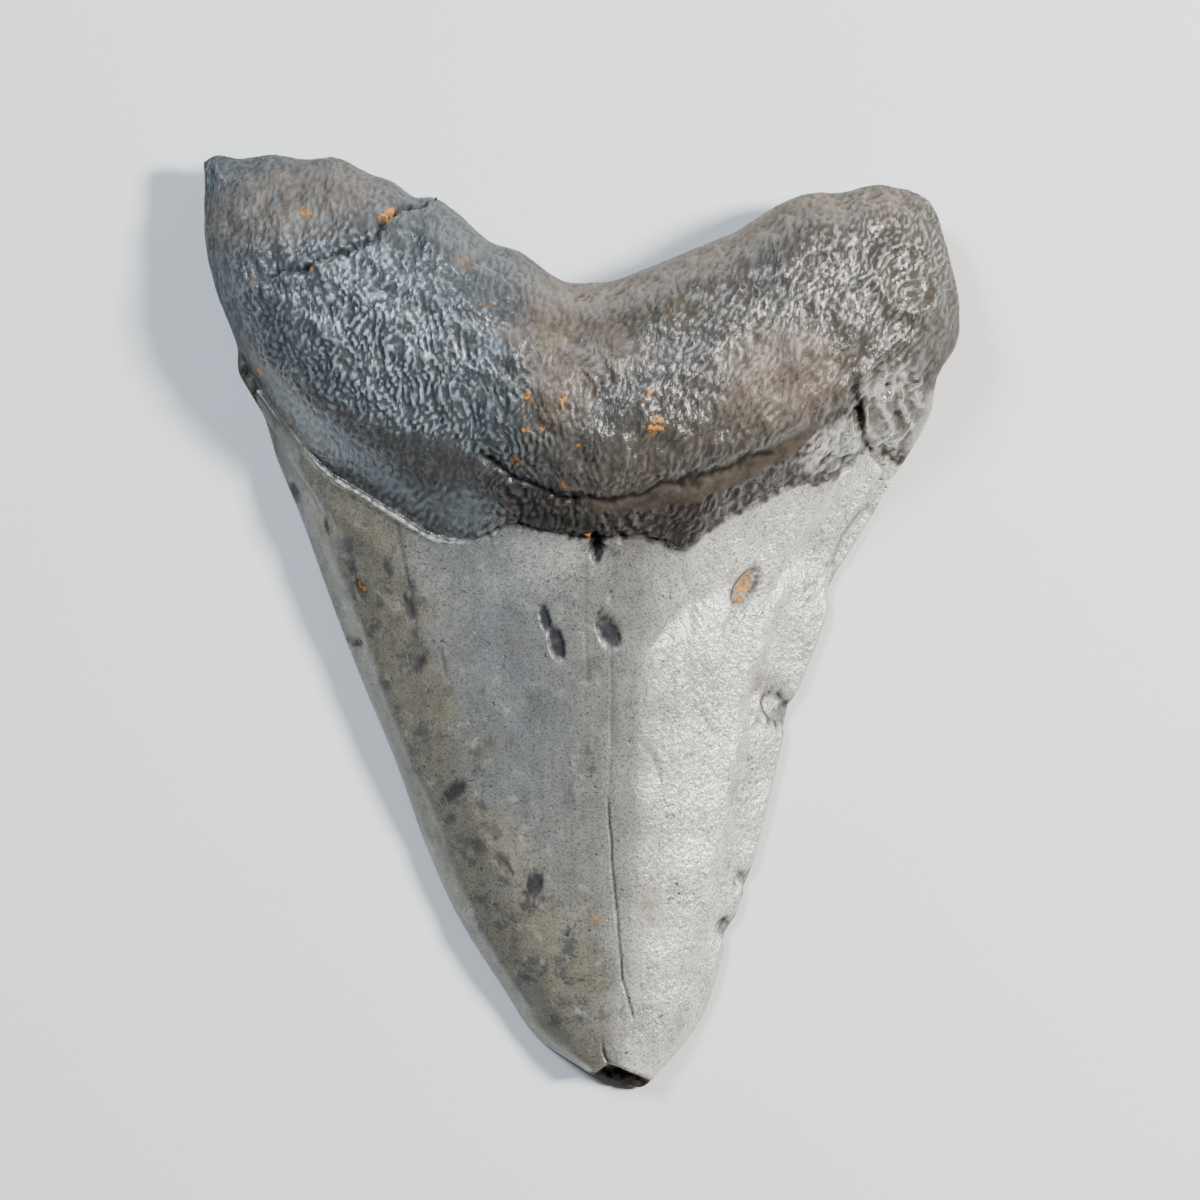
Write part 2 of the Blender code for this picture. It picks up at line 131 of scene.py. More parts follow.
# Forms of the lingual face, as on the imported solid.
FACET_LINE = ((-47.2, 38.6), (-42.8, 40.4), (-35.3, 43.3), (-24.6, 48.4), (-18.1, 53.1), (44.6, 98.0))
LOBE_CRACK = ((37.6, 19.6), (37.0, 20.4), (35.0, 22.9), (34.2, 25.6), (33.5, 27.9))
LOBE_RING = (40.4, 42.4)
RING_RADIUS = 4.2
ENAMEL_STEP = ((-47.0, -1.6), (-38.0, -1.2), (-35.4, 0.0), (-32.0, 0.8), (-18.0, 0.7), (-12.0, 0.0),
               (6.0, -0.1), (14.0, -0.6), (41.0, -0.8))
# Their depths, heights and widths in millimetres, and the x or share of the length where they fade.
# The facet's lean turns y into distance across its line, and a lump wave is its (rate, bend, turn).
STEP_WIDTH, STEP_REACH = 0.7, 14.0
GROOVE_DEPTH, GROOVE_HALF_WIDTH, GROOVE_END, GROOVE_FADE = 1.1, 0.8, -33.0, 4.0
FOLD_DEPTH, FOLD_HALF_WIDTH, FOLD_START, FOLD_FADE = 0.7, 1.1, -14.0, 6.0
FACET_LEAN, FACET_STEP, FACET_FALL = 0.87, 0.9, 0.16
CRACK_DEPTH, CRACK_HALF_WIDTH, CRACK_FADE = 0.7, 0.42, 2.0
ROOT_LUMP, LUMPS_START, LUMPS_FADE = 0.35, 0.68, 0.1
LUMP_WAVES = ((0.55, 0.9, 0.31), (0.62, 0.7, 0.23))
RING_HEIGHT, RING_HALF_WIDTH = 0.6, 1.0
BREAK_HEIGHT, BREAK_RISE, BREAK_EDGE = 1.9, 0.5, 0.5
LEAST_ABOVE_RIM = 0.2
# The labial face's low shelf: its height, its y at x = 0, how it curves with x squared, its width, and
# the height over the floor from which it rises.
SHELF_HEIGHT, SHELF_AT, SHELF_CURVE, SHELF_WIDTH = 0.5, 20.0, 0.004, 1.2
SHELF_CLEAR, SHELF_FADE = 0.3, 0.6

# Chips and pits with crisp sides: (x, y, half length, half width, turn in degrees, depth).
HOLLOWS = (
    (24.6, -10.6, 2.3, 1.7, 130, 0.6), (20.6, -32.2, 1.5, 0.7, 20, 0.45),
    (18.3, -38.4, 1.5, 0.9, 40, 0.5), (-4.5, 0.6, 1.7, 0.6, 106, 0.35),
    (-3.1, -2.4, 2.0, 0.95, 104, 0.45), (3.3, -0.9, 2.3, 1.25, 116, 0.45),
    (20.4, 4.7, 2.6, 1.2, 54, 0.6), (3.6, 3.5, 1.0, 0.25, 92, 0.2), (1.8, 9.5, 1.6, 0.75, 95, 1.2),
    (-21.5, 2.0, 1.5, 0.5, 110, 0.22), (-20.3, -5.1, 1.4, 0.4, 60, 0.18),
    (-15.9, -21.0, 1.6, 0.7, 40, 0.22), (-5.9, -32.6, 1.4, 1.0, 80, 0.25),
    (-9.6, -30.4, 1.5, 0.6, 130, 0.2), (-27.6, 4.2, 1.4, 0.7, 110, 0.35),
    (31.7, 19.4, 2.4, 0.9, 18, 0.5), (-31.5, 12.5, 1.0, 0.5, 90, 0.25),
    (34.4, 10.5, 5.2, 1.7, 62, 0.4), (3.6, 8.7, 1.5, 0.7, 150, 0.2), (4.9, 10.6, 0.8, 0.4, 100, 0.3),
)
# The smooth brown strip under the swelling lies above this line.
STRIP_LINE = ((-3.0, 13.4), (2.5, 13.4), (7.4, 13.9), (12.3, 14.5), (17.1, 16.0), (21.0, 17.8),
              (27.2, 21.8), (34.0, 26.4))
# Grey places of the neck: a patch and two long pale streaks at the left, the streaks being a painted cool
# reflection.
LENS = (
    (-14.0, 13.7, 5.0, 2.3, -14, 0.8), (-28.5, 21.3, 12.0, 1.7, -38, 1.0),
    (-33.0, 22.0, 5.0, 0.5, -40, 0.7),
)
# Painted highlights: glare spots of the enamel, and zones of painted sheen on the root's crests.
GLARE = ((-6.0, 8.0, 7.0, 3.5, 10, 0.5), (-17.0, 6.0, 3.0, 5.0, 20, 0.25))
PAINTED_SHEEN = (
    (-22.5, 31.0, 18.0, 8.0, 124, 1.0), (37.0, 45.0, 9.0, 7.0, 20, 0.75),
    (20.0, 36.0, 12.0, 6.0, 30, 0.3),
)
# Cracks and scratches: (points as (x, y), half width, depth, darkness).
SCORES = (
    (((3.3, -22.6), (3.8, -28.3), (4.0, -32.0), (4.4, -35.8), (4.8, -40.8), (5.1, -44.5), (5.9, -47.0),
      (6.5, -49.3)), 0.15, 0.3, 0.8),
    (((0.6, 8.6), (0.5, 1.0), (0.7, -7.0)), 0.25, 0.08, 0.2),
    (((3.7, -3.3), (3.8, -12.0), (3.3, -22.6)), 0.25, 0.07, 0.35),
    (((2.6, -53.0), (2.9, -54.4), (3.5, -55.3)), 0.22, 0.3, 0.9),
    (((12.3, 6.8), (13.2, 4.6), (15.0, 3.0)), 0.3, 0.22, 0.4),
    (((15.1, -10.8), (16.0, -12.6), (16.9, -13.9)), 0.25, 0.2, 0.8),
    (((7.3, -14.5), (8.8, -16.4), (9.8, -18.9)), 0.25, 0.14, 0.5),
    (((-23.0, 12.4), (-21.5, 5.5), (-20.5, 0.5)), 0.3, 0.14, 0.5),
    (((-17.4, -3.3), (-16.8, -6.4)), 0.25, 0.12, 0.5),
    (((21.2, -11.4), (22.6, -12.2), (23.6, -12.5), (25.2, -13.2)), 0.22, 0.45, 0.9),
    (((23.4, -8.0), (25.2, -9.4), (26.4, -9.4)), 0.22, 0.4, 0.9),
    (((21.3, -10.4), (21.5, -8.9), (22.6, -7.8)), 0.25, 0.25, 0.3),
    (((19.5, -31.3), (20.4, -31.9), (21.6, -32.2)), 0.2, 0.4, 1.0),
    (((17.1, -37.2), (18.2, -37.4), (19.6, -37.7)), 0.2, 0.4, 1.0),
    (((17.1, -37.4), (17.8, -38.8), (18.8, -39.8)), 0.22, 0.35, 0.8),
    (((27.9, 4.3), (29.5, 5.3)), 0.22, 0.25, 0.6),
    (((-29.6, -2.3), (-27.8, -2.3)), 0.22, 0.25, 0.9),
    (((33.3, 14.9), (32.6, 9.9), (31.6, 6.8)), 0.35, 0.22, 0.3),
    (((20.4, 4.7), (18.8, 1.2), (17.5, -2.0)), 0.4, 0.2, 0.2),
    (((29.2, 18.6), (30.6, 18.4), (32.4, 18.7), (33.8, 20.0), (34.3, 21.2)), 0.22, 0.3, 0.8),
    (((29.8, 19.9), (30.9, 20.9), (32.0, 20.2), (33.2, 20.9)), 0.22, 0.25, 0.8),
)
# Seams of the root, in the same form. The fourth is a dark line along the lower edge of the swelling.
SEAMS = (
    (((-18.1, 52.9), (-21.0, 51.2), (-23.6, 50.3), (-25.2, 47.4), (-29.0, 45.5), (-33.4, 43.6),
      (-37.7, 43.2)), 0.45, 0.6, 1.0),
    (((-8.4, 35.1), (-9.0, 31.0), (-11.2, 27.0)), 0.25, 0.12, 0.4),
    (((33.4, 28.6), (34.1, 26.9), (34.5, 24.5), (35.6, 22.4), (36.9, 21.0)), 0.26, 0.35, 1.0),
    (((-12.6, 20.9), (-8.0, 17.8), (-3.0, 15.6), (2.3, 14.9), (8.5, 15.9), (17.0, 18.6), (23.0, 21.0)),
     0.3, 0.35, 0.9),
    (((-14.0, 43.6), (-11.6, 45.2)), 0.4, 0.25, 0.6),
)
# Glossy worn patches of the root beside the right lobe's crack, and the crumpled block right of it. Their
# crests are also painted pale as a glare.
GLOSSY = (
    (32.0, 22.6, 4.2, 2.2, 32, 1.0), (30.0, 20.2, 2.6, 1.6, 20, 0.8), (38.4, 26.6, 4.6, 4.2, 100, 1.0),
)
CRUMPLED = ((38.0, 27.2, 5.6, 4.8, 110, 1.0),)
# Dark mineral spots on the enamel: (x, y, half length, half width, turn in degrees, strength).
DARK_SPOTS = (
    (-21.5, 2.0, 1.7, 0.8, 110, 0.9), (-25.0, 2.4, 0.8, 0.6, 0, 0.6), (-24.0, 7.0, 1.3, 0.6, 100, 0.7),
    (-28.6, 7.4, 1.0, 0.6, 90, 0.6), (-20.3, -5.1, 1.7, 0.6, 50, 0.8), (-24.6, -7.4, 0.9, 0.6, 0, 0.5),
    (-16.5, -8.3, 0.9, 0.6, 70, 0.5), (-12.4, -8.3, 0.7, 0.6, 0, 0.5), (-4.6, -10.1, 2.6, 2.0, 0, 0.25),
    (-13.0, -16.0, 0.9, 0.6, 30, 0.6), (-11.5, -14.8, 0.9, 0.6, 30, 0.6),
    (-9.0, -14.5, 0.6, 0.5, 0, 0.6), (-12.8, -18.0, 1.1, 0.6, 20, 0.6),
    (-21.3, -18.5, 0.8, 0.5, 0, 0.5), (-15.9, -21.0, 2.0, 0.9, 40, 0.9),
    (-12.5, -22.6, 1.0, 0.7, 120, 0.7), (-16.5, -24.5, 0.9, 0.7, 30, 0.7),
    (-12.8, -27.6, 1.3, 0.8, 140, 0.7), (-9.9, -29.1, 1.2, 0.8, 130, 0.7),
    (-9.6, -32.0, 1.0, 0.7, 0, 0.7), (-5.9, -32.6, 1.9, 1.3, 80, 1.0), (-6.5, -35.1, 1.3, 1.0, 0, 0.7),
    (-5.9, -42.3, 1.0, 0.7, 0, 0.6), (-3.0, -42.0, 0.8, 0.6, 0, 0.6), (-1.9, -47.3, 1.0, 0.7, 0, 0.5),
    (-1.5, -21.4, 0.8, 1.4, 0, 0.5), (-7.1, -21.1, 0.9, 0.6, 0, 0.4), (1.0, -15.8, 0.6, 0.6, 0, 0.6),
    (1.3, -18.0, 0.6, 0.6, 0, 0.6), (-36.5, 16.8, 1.3, 0.7, 120, 0.8), (-4.5, 0.6, 1.8, 0.7, 106, 1.0),
    (-3.1, -2.4, 2.1, 1.0, 104, 1.0), (3.3, -0.9, 2.4, 1.3, 116, 1.0), (1.8, 9.3, 2.0, 0.9, 95, 1.0),
    (25.2, -11.4, 1.3, 1.0, 60, 0.7), (20.6, -32.3, 0.9, 0.5, 20, 0.6),
    (18.4, -38.2, 1.2, 0.5, 40, 0.7), (0.4, 7.0, 0.5, 0.9, 0, 0.6), (1.3, -5.0, 1.6, 1.0, 20, 0.5),
    (0.8, -6.5, 0.7, 0.9, 0, 0.5), (3.4, 8.6, 1.4, 0.8, 150, 0.6), (-27.6, 4.2, 1.5, 1.0, 110, 0.6),
)
# Rust and tan stains: (x, y, half length, half width, turn in degrees, strength).
RUST_SPOTS = (
    (-23.6, 50.3, 1.1, 0.7, 60, 1.0), (9.1, 24.0, 1.0, 0.8, 60, 1.0), (-8.1, 19.9, 0.8, 0.45, 130, 0.9),
    (-6.5, 27.5, 0.7, 0.45, 120, 0.8), (-2.0, 27.0, 0.35, 0.6, 0, 0.9), (-6.5, 23.5, 0.4, 0.3, 0, 0.7),
    (-4.6, 23.5, 0.4, 0.3, 0, 0.7), (8.3, 28.0, 0.5, 0.4, 0, 0.8), (-0.5, 21.5, 0.3, 0.4, 0, 0.7),
    (-33.1, 43.4, 0.4, 0.35, 0, 0.8), (-40.5, 42.3, 0.5, 0.4, 0, 0.7),
    (-40.0, 31.5, 0.6, 0.35, 125, 0.8), (-38.0, 27.4, 0.6, 0.3, 120, 0.7),
    (-36.6, 25.2, 0.5, 0.3, 125, 0.8), (20.4, 4.7, 1.7, 0.7, 54, 0.8), (2.0, -37.0, 0.4, 0.4, 0, 0.9),
    (-27.5, 4.6, 0.8, 0.5, 110, 0.7), (1.0, 10.8, 0.7, 0.5, 0, 0.7), (-33.9, 50.5, 0.7, 0.6, 0, 0.6),
    (-11.4, 38.5, 0.6, 0.5, 0, 0.5), (-2.4, 16.8, 0.7, 0.5, 0, 0.5),
)
TAN_STAINS = (
    (-2.8, 32.4, 9.0, 4.0, 100, 0.5), (24.0, 30.0, 8.0, 6.0, 20, 0.6), (-8.4, 35.1, 1.8, 1.2, 0, 0.6),
    (13.5, 44.5, 2.4, 1.2, 20, 0.7), (-14.0, 44.3, 1.6, 1.2, 0, 0.6), (8.3, -35.1, 1.9, 2.4, 0, 0.9),
    (-36.0, 52.0, 11.0, 5.0, 10, 0.65), (3.0, 33.5, 5.0, 3.0, 0, 0.4),
    (-20.0, -12.0, 6.0, 16.0, 0, 0.25), (-10.0, -28.0, 4.0, 3.0, 130, 0.5),
    (18.0, 48.2, 14.0, 2.2, 22, 0.6), (20.4, 4.7, 2.8, 1.7, 54, 0.6),
)

# The mesh: cells across, and spans along as (from, to, rows). The lower face has a quarter of each.
COLUMNS = 400
FLANK_COLUMNS = 28
FLANK_SHARE = 0.055
ROW_SPANS = ((0.0, 0.03, 12), (0.03, 0.607, 100), (0.607, 0.635, 12), (0.635, 0.72, 24),
             (0.72, 0.925, 60))
BASAL_ROWS = 24
STRIDE = 4
# How strongly places near the rim spread along its arc, and how far clouds bend the cracks and seams.
ARC_GAIN = 1.6
CRACK_WOBBLE = 0.05
SEAM_WOBBLE = 0.22
# What the wrinkles are clipped to before their depth is set, and the material's bumps in millimetres.
WRINKLE_LOWEST, WRINKLE_HIGHEST = -1.4, 0.3
BUMP_HEIGHT = 0.12

# The stage, in metres. Each light is (direction from the tooth, distance, size, colour).
FLOOR_REACH = 3.0
FLOOR_CORNERS = ((-1, -1), (1, -1), (1, 1), (-1, 1))
KEY_LIGHT = ((0.69, 0.17, 0.7), 0.6, 0.1, (1.0, 0.97, 0.93))
FILL_LIGHT = ((-0.4, 0.48, 0.78), 0.7, 0.16, (0.74, 0.87, 1.0))
SKY_COLOUR = (0.9, 0.93, 1.0, 1.0)
SKY_STRENGTH = 0.12
EYE_X, EYE_Y = 0.00225, 0.003
LENS_LENGTH = 120.0
SENSOR_WIDTH = 36.0
NEAREST_SEEN = 0.01

# What all the panel's colours share.
COLOUR = {"subtype": "COLOR", "size": 3, "min": 0.0, "max": 1.0}


class ToothSettings(bpy.types.PropertyGroup):
    """Sizes and colours of the tooth."""
    wrinkle_depth: bpy.props.FloatProperty(
        name="Wrinkle Depth", description="Depth of the root's wrinkles", default=0.00019,
        min=0.0, max=0.001, precision=5, unit="LENGTH")
    wrinkle_spacing: bpy.props.FloatProperty(
        name="Wrinkle Spacing", description="Distance from one wrinkle of the root to the next",
        default=0.00076, min=0.0005, max=0.004, precision=5, unit="LENGTH")
    ripple_depth: bpy.props.FloatProperty(
        name="Ripple Depth", description="Depth of the enamel's faint ripples", default=0.00003,
        min=0.0, max=0.0005, precision=6, unit="LENGTH")
    enamel_colour: bpy.props.FloatVectorProperty(
        name="Enamel", description="Main grey of the crown", default=(0.165, 0.163, 0.145), **COLOUR)
    enamel_tan_colour: bpy.props.FloatVectorProperty(
        name="Enamel Tan", description="Warmer grey at the crown's left",
        default=(0.165, 0.147, 0.108), **COLOUR)
    enamel_blue_colour: bpy.props.FloatVectorProperty(
        name="Enamel Blue", description="Cooler grey in the crown's middle",
        default=(0.095, 0.112, 0.122), **COLOUR)
    root_colour: bpy.props.FloatVectorProperty(
        name="Root", description="Dark grey of the root", default=(0.054, 0.051, 0.047), **COLOUR)
    root_brown_colour: bpy.props.FloatVectorProperty(
        name="Root Brown", description="Brown of the root's stained zones",
        default=(0.088, 0.066, 0.047), **COLOUR)
    fold_colour: bpy.props.FloatVectorProperty(
        name="Neck Fold", description="Near black brown of the smooth neck",
        default=(0.032, 0.026, 0.023), **COLOUR)
    rust_colour: bpy.props.FloatVectorProperty(
        name="Rust", description="Orange of the iron specks", default=(0.42, 0.18, 0.04), **COLOUR)
    spot_colour: bpy.props.FloatVectorProperty(
        name="Dark Spots", description="Blue-black of the enamel's spots",
        default=(0.022, 0.022, 0.025), **COLOUR)


class StageSettings(bpy.types.PropertyGroup):
    """Floor, lights and camera distance."""
    floor_colour: bpy.props.FloatVectorProperty(
        name="Floor", description="Colour of the floor", default=(0.72, 0.72, 0.71), **COLOUR)
    key_power: bpy.props.FloatProperty(
        name="Key Light", description="Power of the light at the upper right", default=9.0,
        min=0.0, unit="POWER")
    fill_power: bpy.props.FloatProperty(
        name="Fill Light", description="Power of the cool light at the upper left", default=5.5,
        min=0.0, unit="POWER")
    camera_height: bpy.props.FloatProperty(
        name="Camera Height", description="Height of the camera over the floor", default=0.507,
        min=0.1, unit="LENGTH")


def smooth_through(knots, values, at):
    """A cubic between knots, whose slope at each knot is a weighted mean of those on its two sides."""
    knots, values, at = (np.asarray(a, float) for a in (knots, values, at))
    column = (-1,) + (1,) * (values.ndim - 1)
    step = np.diff(knots).reshape(column)
    slope = np.diff(values, axis=0) / step
    inner = (step[1:] * slope[:-1] + step[:-1] * slope[1:]) / (step[1:] + step[:-1])
    slopes = np.concatenate([slope[:1], inner, slope[-1:]])
    cell = np.clip(np.searchsorted(knots, at, side="right") - 1, 0, len(knots) - 2)
    width = np.diff(knots)[cell]
    t = np.clip((at - knots[cell]) / width, 0.0, 1.0)
    if values.ndim > 1:
        t, width = t[:, None], width[:, None]
    return (
        (2 * t**3 - 3 * t**2 + 1) * values[cell]
        + (t**3 - 2 * t**2 + t) * width * slopes[cell]
        + (3 * t**2 - 2 * t**3) * values[cell + 1]
        + (t**3 - t**2) * width * slopes[cell + 1]
    )


def height_of(line, x):
    """The y of a line given as (x, y) points, at each x."""
    return smooth_through([p[0] for p in line], [p[1] for p in line], x)


def place_of(line, y):
    """The x of a line given as (x, y) points, at each y."""
    return smooth_through([p[1] for p in line], [p[0] for p in line], y)


def ramp(t):
    """Three t squared less two t cubed: 0 below 0 and 1 above 1, with a smooth rise between."""
    t = np.clip(t, 0.0, 1.0)
    return t * t * (3 - 2 * t)


def between(at, start, end, rise, fall):
    """A share that rises from 0 at the start and falls back to 0 at the end, over the two widths."""
    return ramp((at - start) / rise) * ramp((end - at) / fall)


def bell(t):
    """e to the minus t squared: 1 at 0, falling smoothly to nothing by about 2."""
    return np.exp(-t * t)


def quarter_round(distance, radius):
    """The rise of a quarter circle: 0 at the rim and 1 from one radius in."""
    return np.sqrt(1 - (1 - np.clip(distance / radius, 0.0, 1.0)) ** 2)


def spots(x, y, table, edge=0.5, ragged=0.0):
    """The largest of the table's turned ellipses at each point, each times its strength.

    Each is 1 in its middle and falls to 0 over the edge share of its radius, which a cloud makes ragged.
    """
    wander = ragged * cloud(x, y, 0.9, 71) if ragged else 0.0
    most = np.zeros_like(x)
    for cx, cy, half_length, half_width, turn, strength in table:
        cos, sin = np.cos(np.radians(turn)), np.sin(np.radians(turn))
        u = ((x - cx) * cos + (y - cy) * sin) / half_length
        w = (-(x - cx) * sin + (y - cy) * cos) / half_width
        most = np.maximum(most, strength * ramp((1 - np.hypot(u, w) + wander) / edge + 0.5))
    return most


def from_line(x, y, line):
    """Each point's distance from the nearest stretch of an open line, and the step from there to it."""
    points = np.stack([x, y], axis=-1)
    nearest = np.full(x.shape, np.inf)
    step = np.zeros_like(points)
    for start, end in zip(np.array(line[:-1]), np.array(line[1:])):
        run = end - start
        share = np.clip((points - start) @ run / (run @ run), 0.0, 1.0)
        here = points - start - share[..., None] * run
        length = np.linalg.norm(here, axis=-1)
        step = np.where((length < nearest)[..., None], here, step)
        nearest = np.minimum(nearest, length)
    return nearest, step


def wave_field(x, y, turn, spread, spacing, seed, count=28):
    """A sum of cosines with crests near one direction and close to one spacing, scaled to unit spread."""
    rng = np.random.default_rng(seed)
    angles = np.radians(turn + 90 + rng.normal(0.0, spread, count))
    numbers = 2 * np.pi / (spacing * rng.uniform(0.72, 1.5, count))
    phases = rng.uniform(0.0, 2 * np.pi, count)
    total = np.zeros_like(x)
    for angle, number, phase in zip(angles, numbers, phases):
        total += np.cos(number * (x * np.cos(angle) + y * np.sin(angle)) + phase)
    return total / np.sqrt(count / 2)


def cloud(x, y, size, seed):
    """A wave field with crests in every direction, for slow change from place to place."""
    return wave_field(x, y, 0.0, 90.0, size, seed, 16)


def nicked(y):
    """How far the right edge is bitten in at each y."""
    return sum(depth * bell((y - at) / half) for at, half, depth in EDGE_NICKS)


def across_spaced():
    """Shares of the width that crowd towards both edges as points on a quarter circle do."""
    angles = np.linspace(0, np.pi / 2, FLANK_COLUMNS + 1)
    edge = FLANK_SHARE * (1 - np.cos(angles))
    middle = np.linspace(FLANK_SHARE, 1 - FLANK_SHARE, COLUMNS - 2 * FLANK_COLUMNS + 1)
    return np.concatenate([edge[:-1], middle, (1 - edge[:-1])[::-1]])


def along_spaced():
    """Shares of the length: the spans' even rows, then rows that crowd to the basal margin."""
    spans = [np.linspace(low, high, rows, endpoint=False) for low, high, rows in ROW_SPANS]
    start = ROW_SPANS[-1][1]
    angles = np.linspace(0, np.pi / 2, BASAL_ROWS + 1)
    return np.concatenate(spans + [start + (1 - start) * np.sin(angles)])


def plan(across, along):
    """x and y of the grid: evenly from edge to edge, and through the crossing lines on the way up."""
    lines = (TIP_BREAK, ENAMEL_LINE, SWELL_LINE, BASAL_MARGIN)
    crossings = [
        height_of(line, line[0][0] + across * (line[-1][0] - line[0][0])) for line in lines
    ]
    y = smooth_through((0.0, ENAMEL_SHARE, SWELL_SHARE, 1.0), crossings, along)
    left_x = place_of(LEFT_EDGE, y[:, 0])
    right_x = place_of(RIGHT_EDGE, y[:, -1])
    x = left_x[:, None] + across * (right_x - left_x)[:, None]
    return x - nicked(y[:, -1])[:, None] * ramp((across - 1) / BITE_SHARE + 1), y


def rim_distance(x, y, along):
    """Each grid point's distance from the grid's edge, and its place measured along the rounded surface.

    Near the rim a place moves outwards by what the arc adds: its length, radius times asin t, less the
    plan's radius times t, where t is 1 less the distance over the radius.
    """
    flat = np.stack([x, y], axis=-1)
    line = np.concatenate([flat[0, :-1], flat[:-1, -1], flat[-1, :0:-1], flat[:0:-1, 0]])[::2]
    inwards, step = from_line(x, y, np.concatenate([line, line[:1]]))
    radius = smooth_through(RIM_ALONG, UPPER_ROUND, along)[:, None]
    t = np.clip(1 - inwards / radius, 0.0, 1.0)
    outwards = -step / np.maximum(inwards, 0.01)[..., None]
    moved = flat + outwards * (ARC_GAIN * radius * (np.arcsin(t) - t))[..., None]
    return inwards, moved[..., 0], moved[..., 1]


def face_heights(rows, stations, across, along):
    """A face lofted through its rows of heights."""
    table = np.array([heights for _, heights in rows])
    crossed = smooth_through(stations, table.T, across).T
    return smooth_through([share for share, _ in rows], crossed, along)


def main_relief(x, y, along):
    """The solid's own forms: ledge, groove, fold, facet, crack, lumps and the lobe's ring."""
    past_enamel = y - height_of(ENAMEL_LINE, x)
    past_swell = y - height_of(SWELL_LINE, x)
    step = height_of(ENAMEL_STEP, x) * ramp(0.5 - past_enamel / STEP_WIDTH)
    step = step * bell(np.minimum(past_enamel, 0.0) / STEP_REACH)
    groove = GROOVE_DEPTH * bell(past_enamel / GROOVE_HALF_WIDTH) * ramp((GROOVE_END - x) / GROOVE_FADE)
    fold = FOLD_DEPTH * bell(past_swell / FOLD_HALF_WIDTH) * ramp((x - FOLD_START) / FOLD_FADE)
    past_facet = (y - height_of(FACET_LINE, x)) * FACET_LEAN
    facet = FACET_STEP * ramp(past_facet) + FACET_FALL * np.maximum(past_facet, 0.0)
    foot, head = LOBE_CRACK[0][1] - CRACK_FADE / 2, LOBE_CRACK[-1][1] + CRACK_FADE / 2
    crack = CRACK_DEPTH * bell((x - place_of(LOBE_CRACK, y)) / CRACK_HALF_WIDTH)
    crack = crack * between(y, foot, head, CRACK_FADE, CRACK_FADE)
    (x_rate, x_bend, y_turn), (y_rate, y_bend, x_turn) = LUMP_WAVES
    waves = np.sin(x * x_rate + x_bend * np.sin(y * y_turn))
    waves *= np.sin(y * y_rate + y_bend * np.sin(x * x_turn))
    lumps = ROOT_LUMP * waves * ramp((along[:, None] - LUMPS_START) / LUMPS_FADE)
    from_ring = np.hypot(x - LOBE_RING[0], y - LOBE_RING[1]) - RING_RADIUS
    ring = RING_HEIGHT * bell(from_ring / RING_HALF_WIDTH)
    return step - groove - fold - facet - crack + lumps + ring


def root_share(x, y):
    """1 on the root and neck, 0 on the enamel, with a ragged edge along the enamel's upper line."""
    ragged = 0.25 * cloud(x, y, 2.4, 5) + 0.12 * cloud(x, y, 0.9, 6)
    return ramp((y - height_of(ENAMEL_LINE, x) + ragged * ramp((x + 34.0) / 4.0)) / 0.5 + 0.5)


def neck_parts(x, y):
    """Shares of the neck, its smooth brown strip, its crinkled band and its streaked left part."""
    top = height_of(SWELL_LINE, x) + 0.4 + 0.4 * cloud(x, y, 5.0, 8) * ramp((-8.0 - x) / 6.0)
    neck = root_share(x, y) * ramp((top - y) / 1.2 + 0.5)
    middle = ramp((x + 15.0) / 5.0)
    above = (y - height_of(STRIP_LINE, np.clip(x, -3.0, 34.0)) + 0.2 * cloud(x, y, 2.6, 9)) / 0.7
    strip = neck * ramp(above + 0.5) * between(x, -0.5, 31.0, 2.5, 3.0)
    return neck, strip, (neck - strip) * middle, neck * (1 - middle)


def wrinkles(x, y, spacing):
    """Leaning, small and large wave fields, added and clipped. The others' crests enlarge the small one.

    Crests run up to the left on the left lobe and in the middle, and up to the right on the right.
    """
    right = ramp((x - 2.0 - 0.3 * (y - 30.0)) / 16.0)
    left = 1 - right
    shift_x = x + 0.3 * cloud(x, y, 5.0, 11)
    shift_y = y + 0.3 * cloud(x, y, 5.5, 12)
    field = left * wave_field(shift_x, shift_y, 105.0, 20.0, spacing * 0.95, 21, 48)
    field += right * wave_field(shift_x, shift_y, 55.0, 24.0, spacing * 0.95, 23, 48)
    field /= np.sqrt(left**2 + right**2)
    small = wave_field(shift_x, shift_y, 95.0, 45.0, spacing, 24, 36)
    large = wave_field(shift_x, shift_y, 100.0, 35.0, spacing * 2.4, 25, 24)
    swell = 1 + 0.4 * np.tanh(field) + 0.25 * large
    crests = 0.38 * np.tanh(1.3 * field) + 0.33 * small * swell + 0.2 * large - 0.5
    return np.clip(crests, WRINKLE_LOWEST, WRINKLE_HIGHEST)


def crumple(x, y):
    """Absolute values of a coarse and a fine wave field, which crease sharply as crushed foil does."""
    coarse = np.abs(wave_field(x, y, 115.0, 35.0, 3.4, 15, 9))
    return 0.7 * coarse + 0.4 * np.abs(wave_field(x, y, 60.0, 50.0, 1.6, 18, 9))


def score(x, y, table, wobble):
    """Depth and darkness of a table of cracks: each is a bell across its line, which clouds bend."""
    depth, dark = np.zeros_like(x), np.zeros_like(x)
    shift = wobble * (cloud(x, y, 4.5, 44) + 0.4 * cloud(x, y, 1.4, 45))
    for line, half_width, deep, darkness in table:
        across = bell(from_line(x + shift, y - shift, line)[0] / half_width)
        depth = np.maximum(depth, deep * across)
        dark = np.maximum(dark, darkness * across)
    return depth, dark


def basal_band(x, around):
    """The share of the band along the basal margin, and its ridges, whose crests follow the margin."""
    basal = around[1] - height_of(BASAL_MARGIN, np.clip(x, -47.0, 44.5))
    band = bell((basal + 0.5) / 3.6) * between(x, -6.0, 44.0, 6.0, 8.0)
    return band, wave_field(around[0], basal + 0.3 * cloud(*around, 3.0, 32), 6.0, 20.0, 0.9, 31, 40)


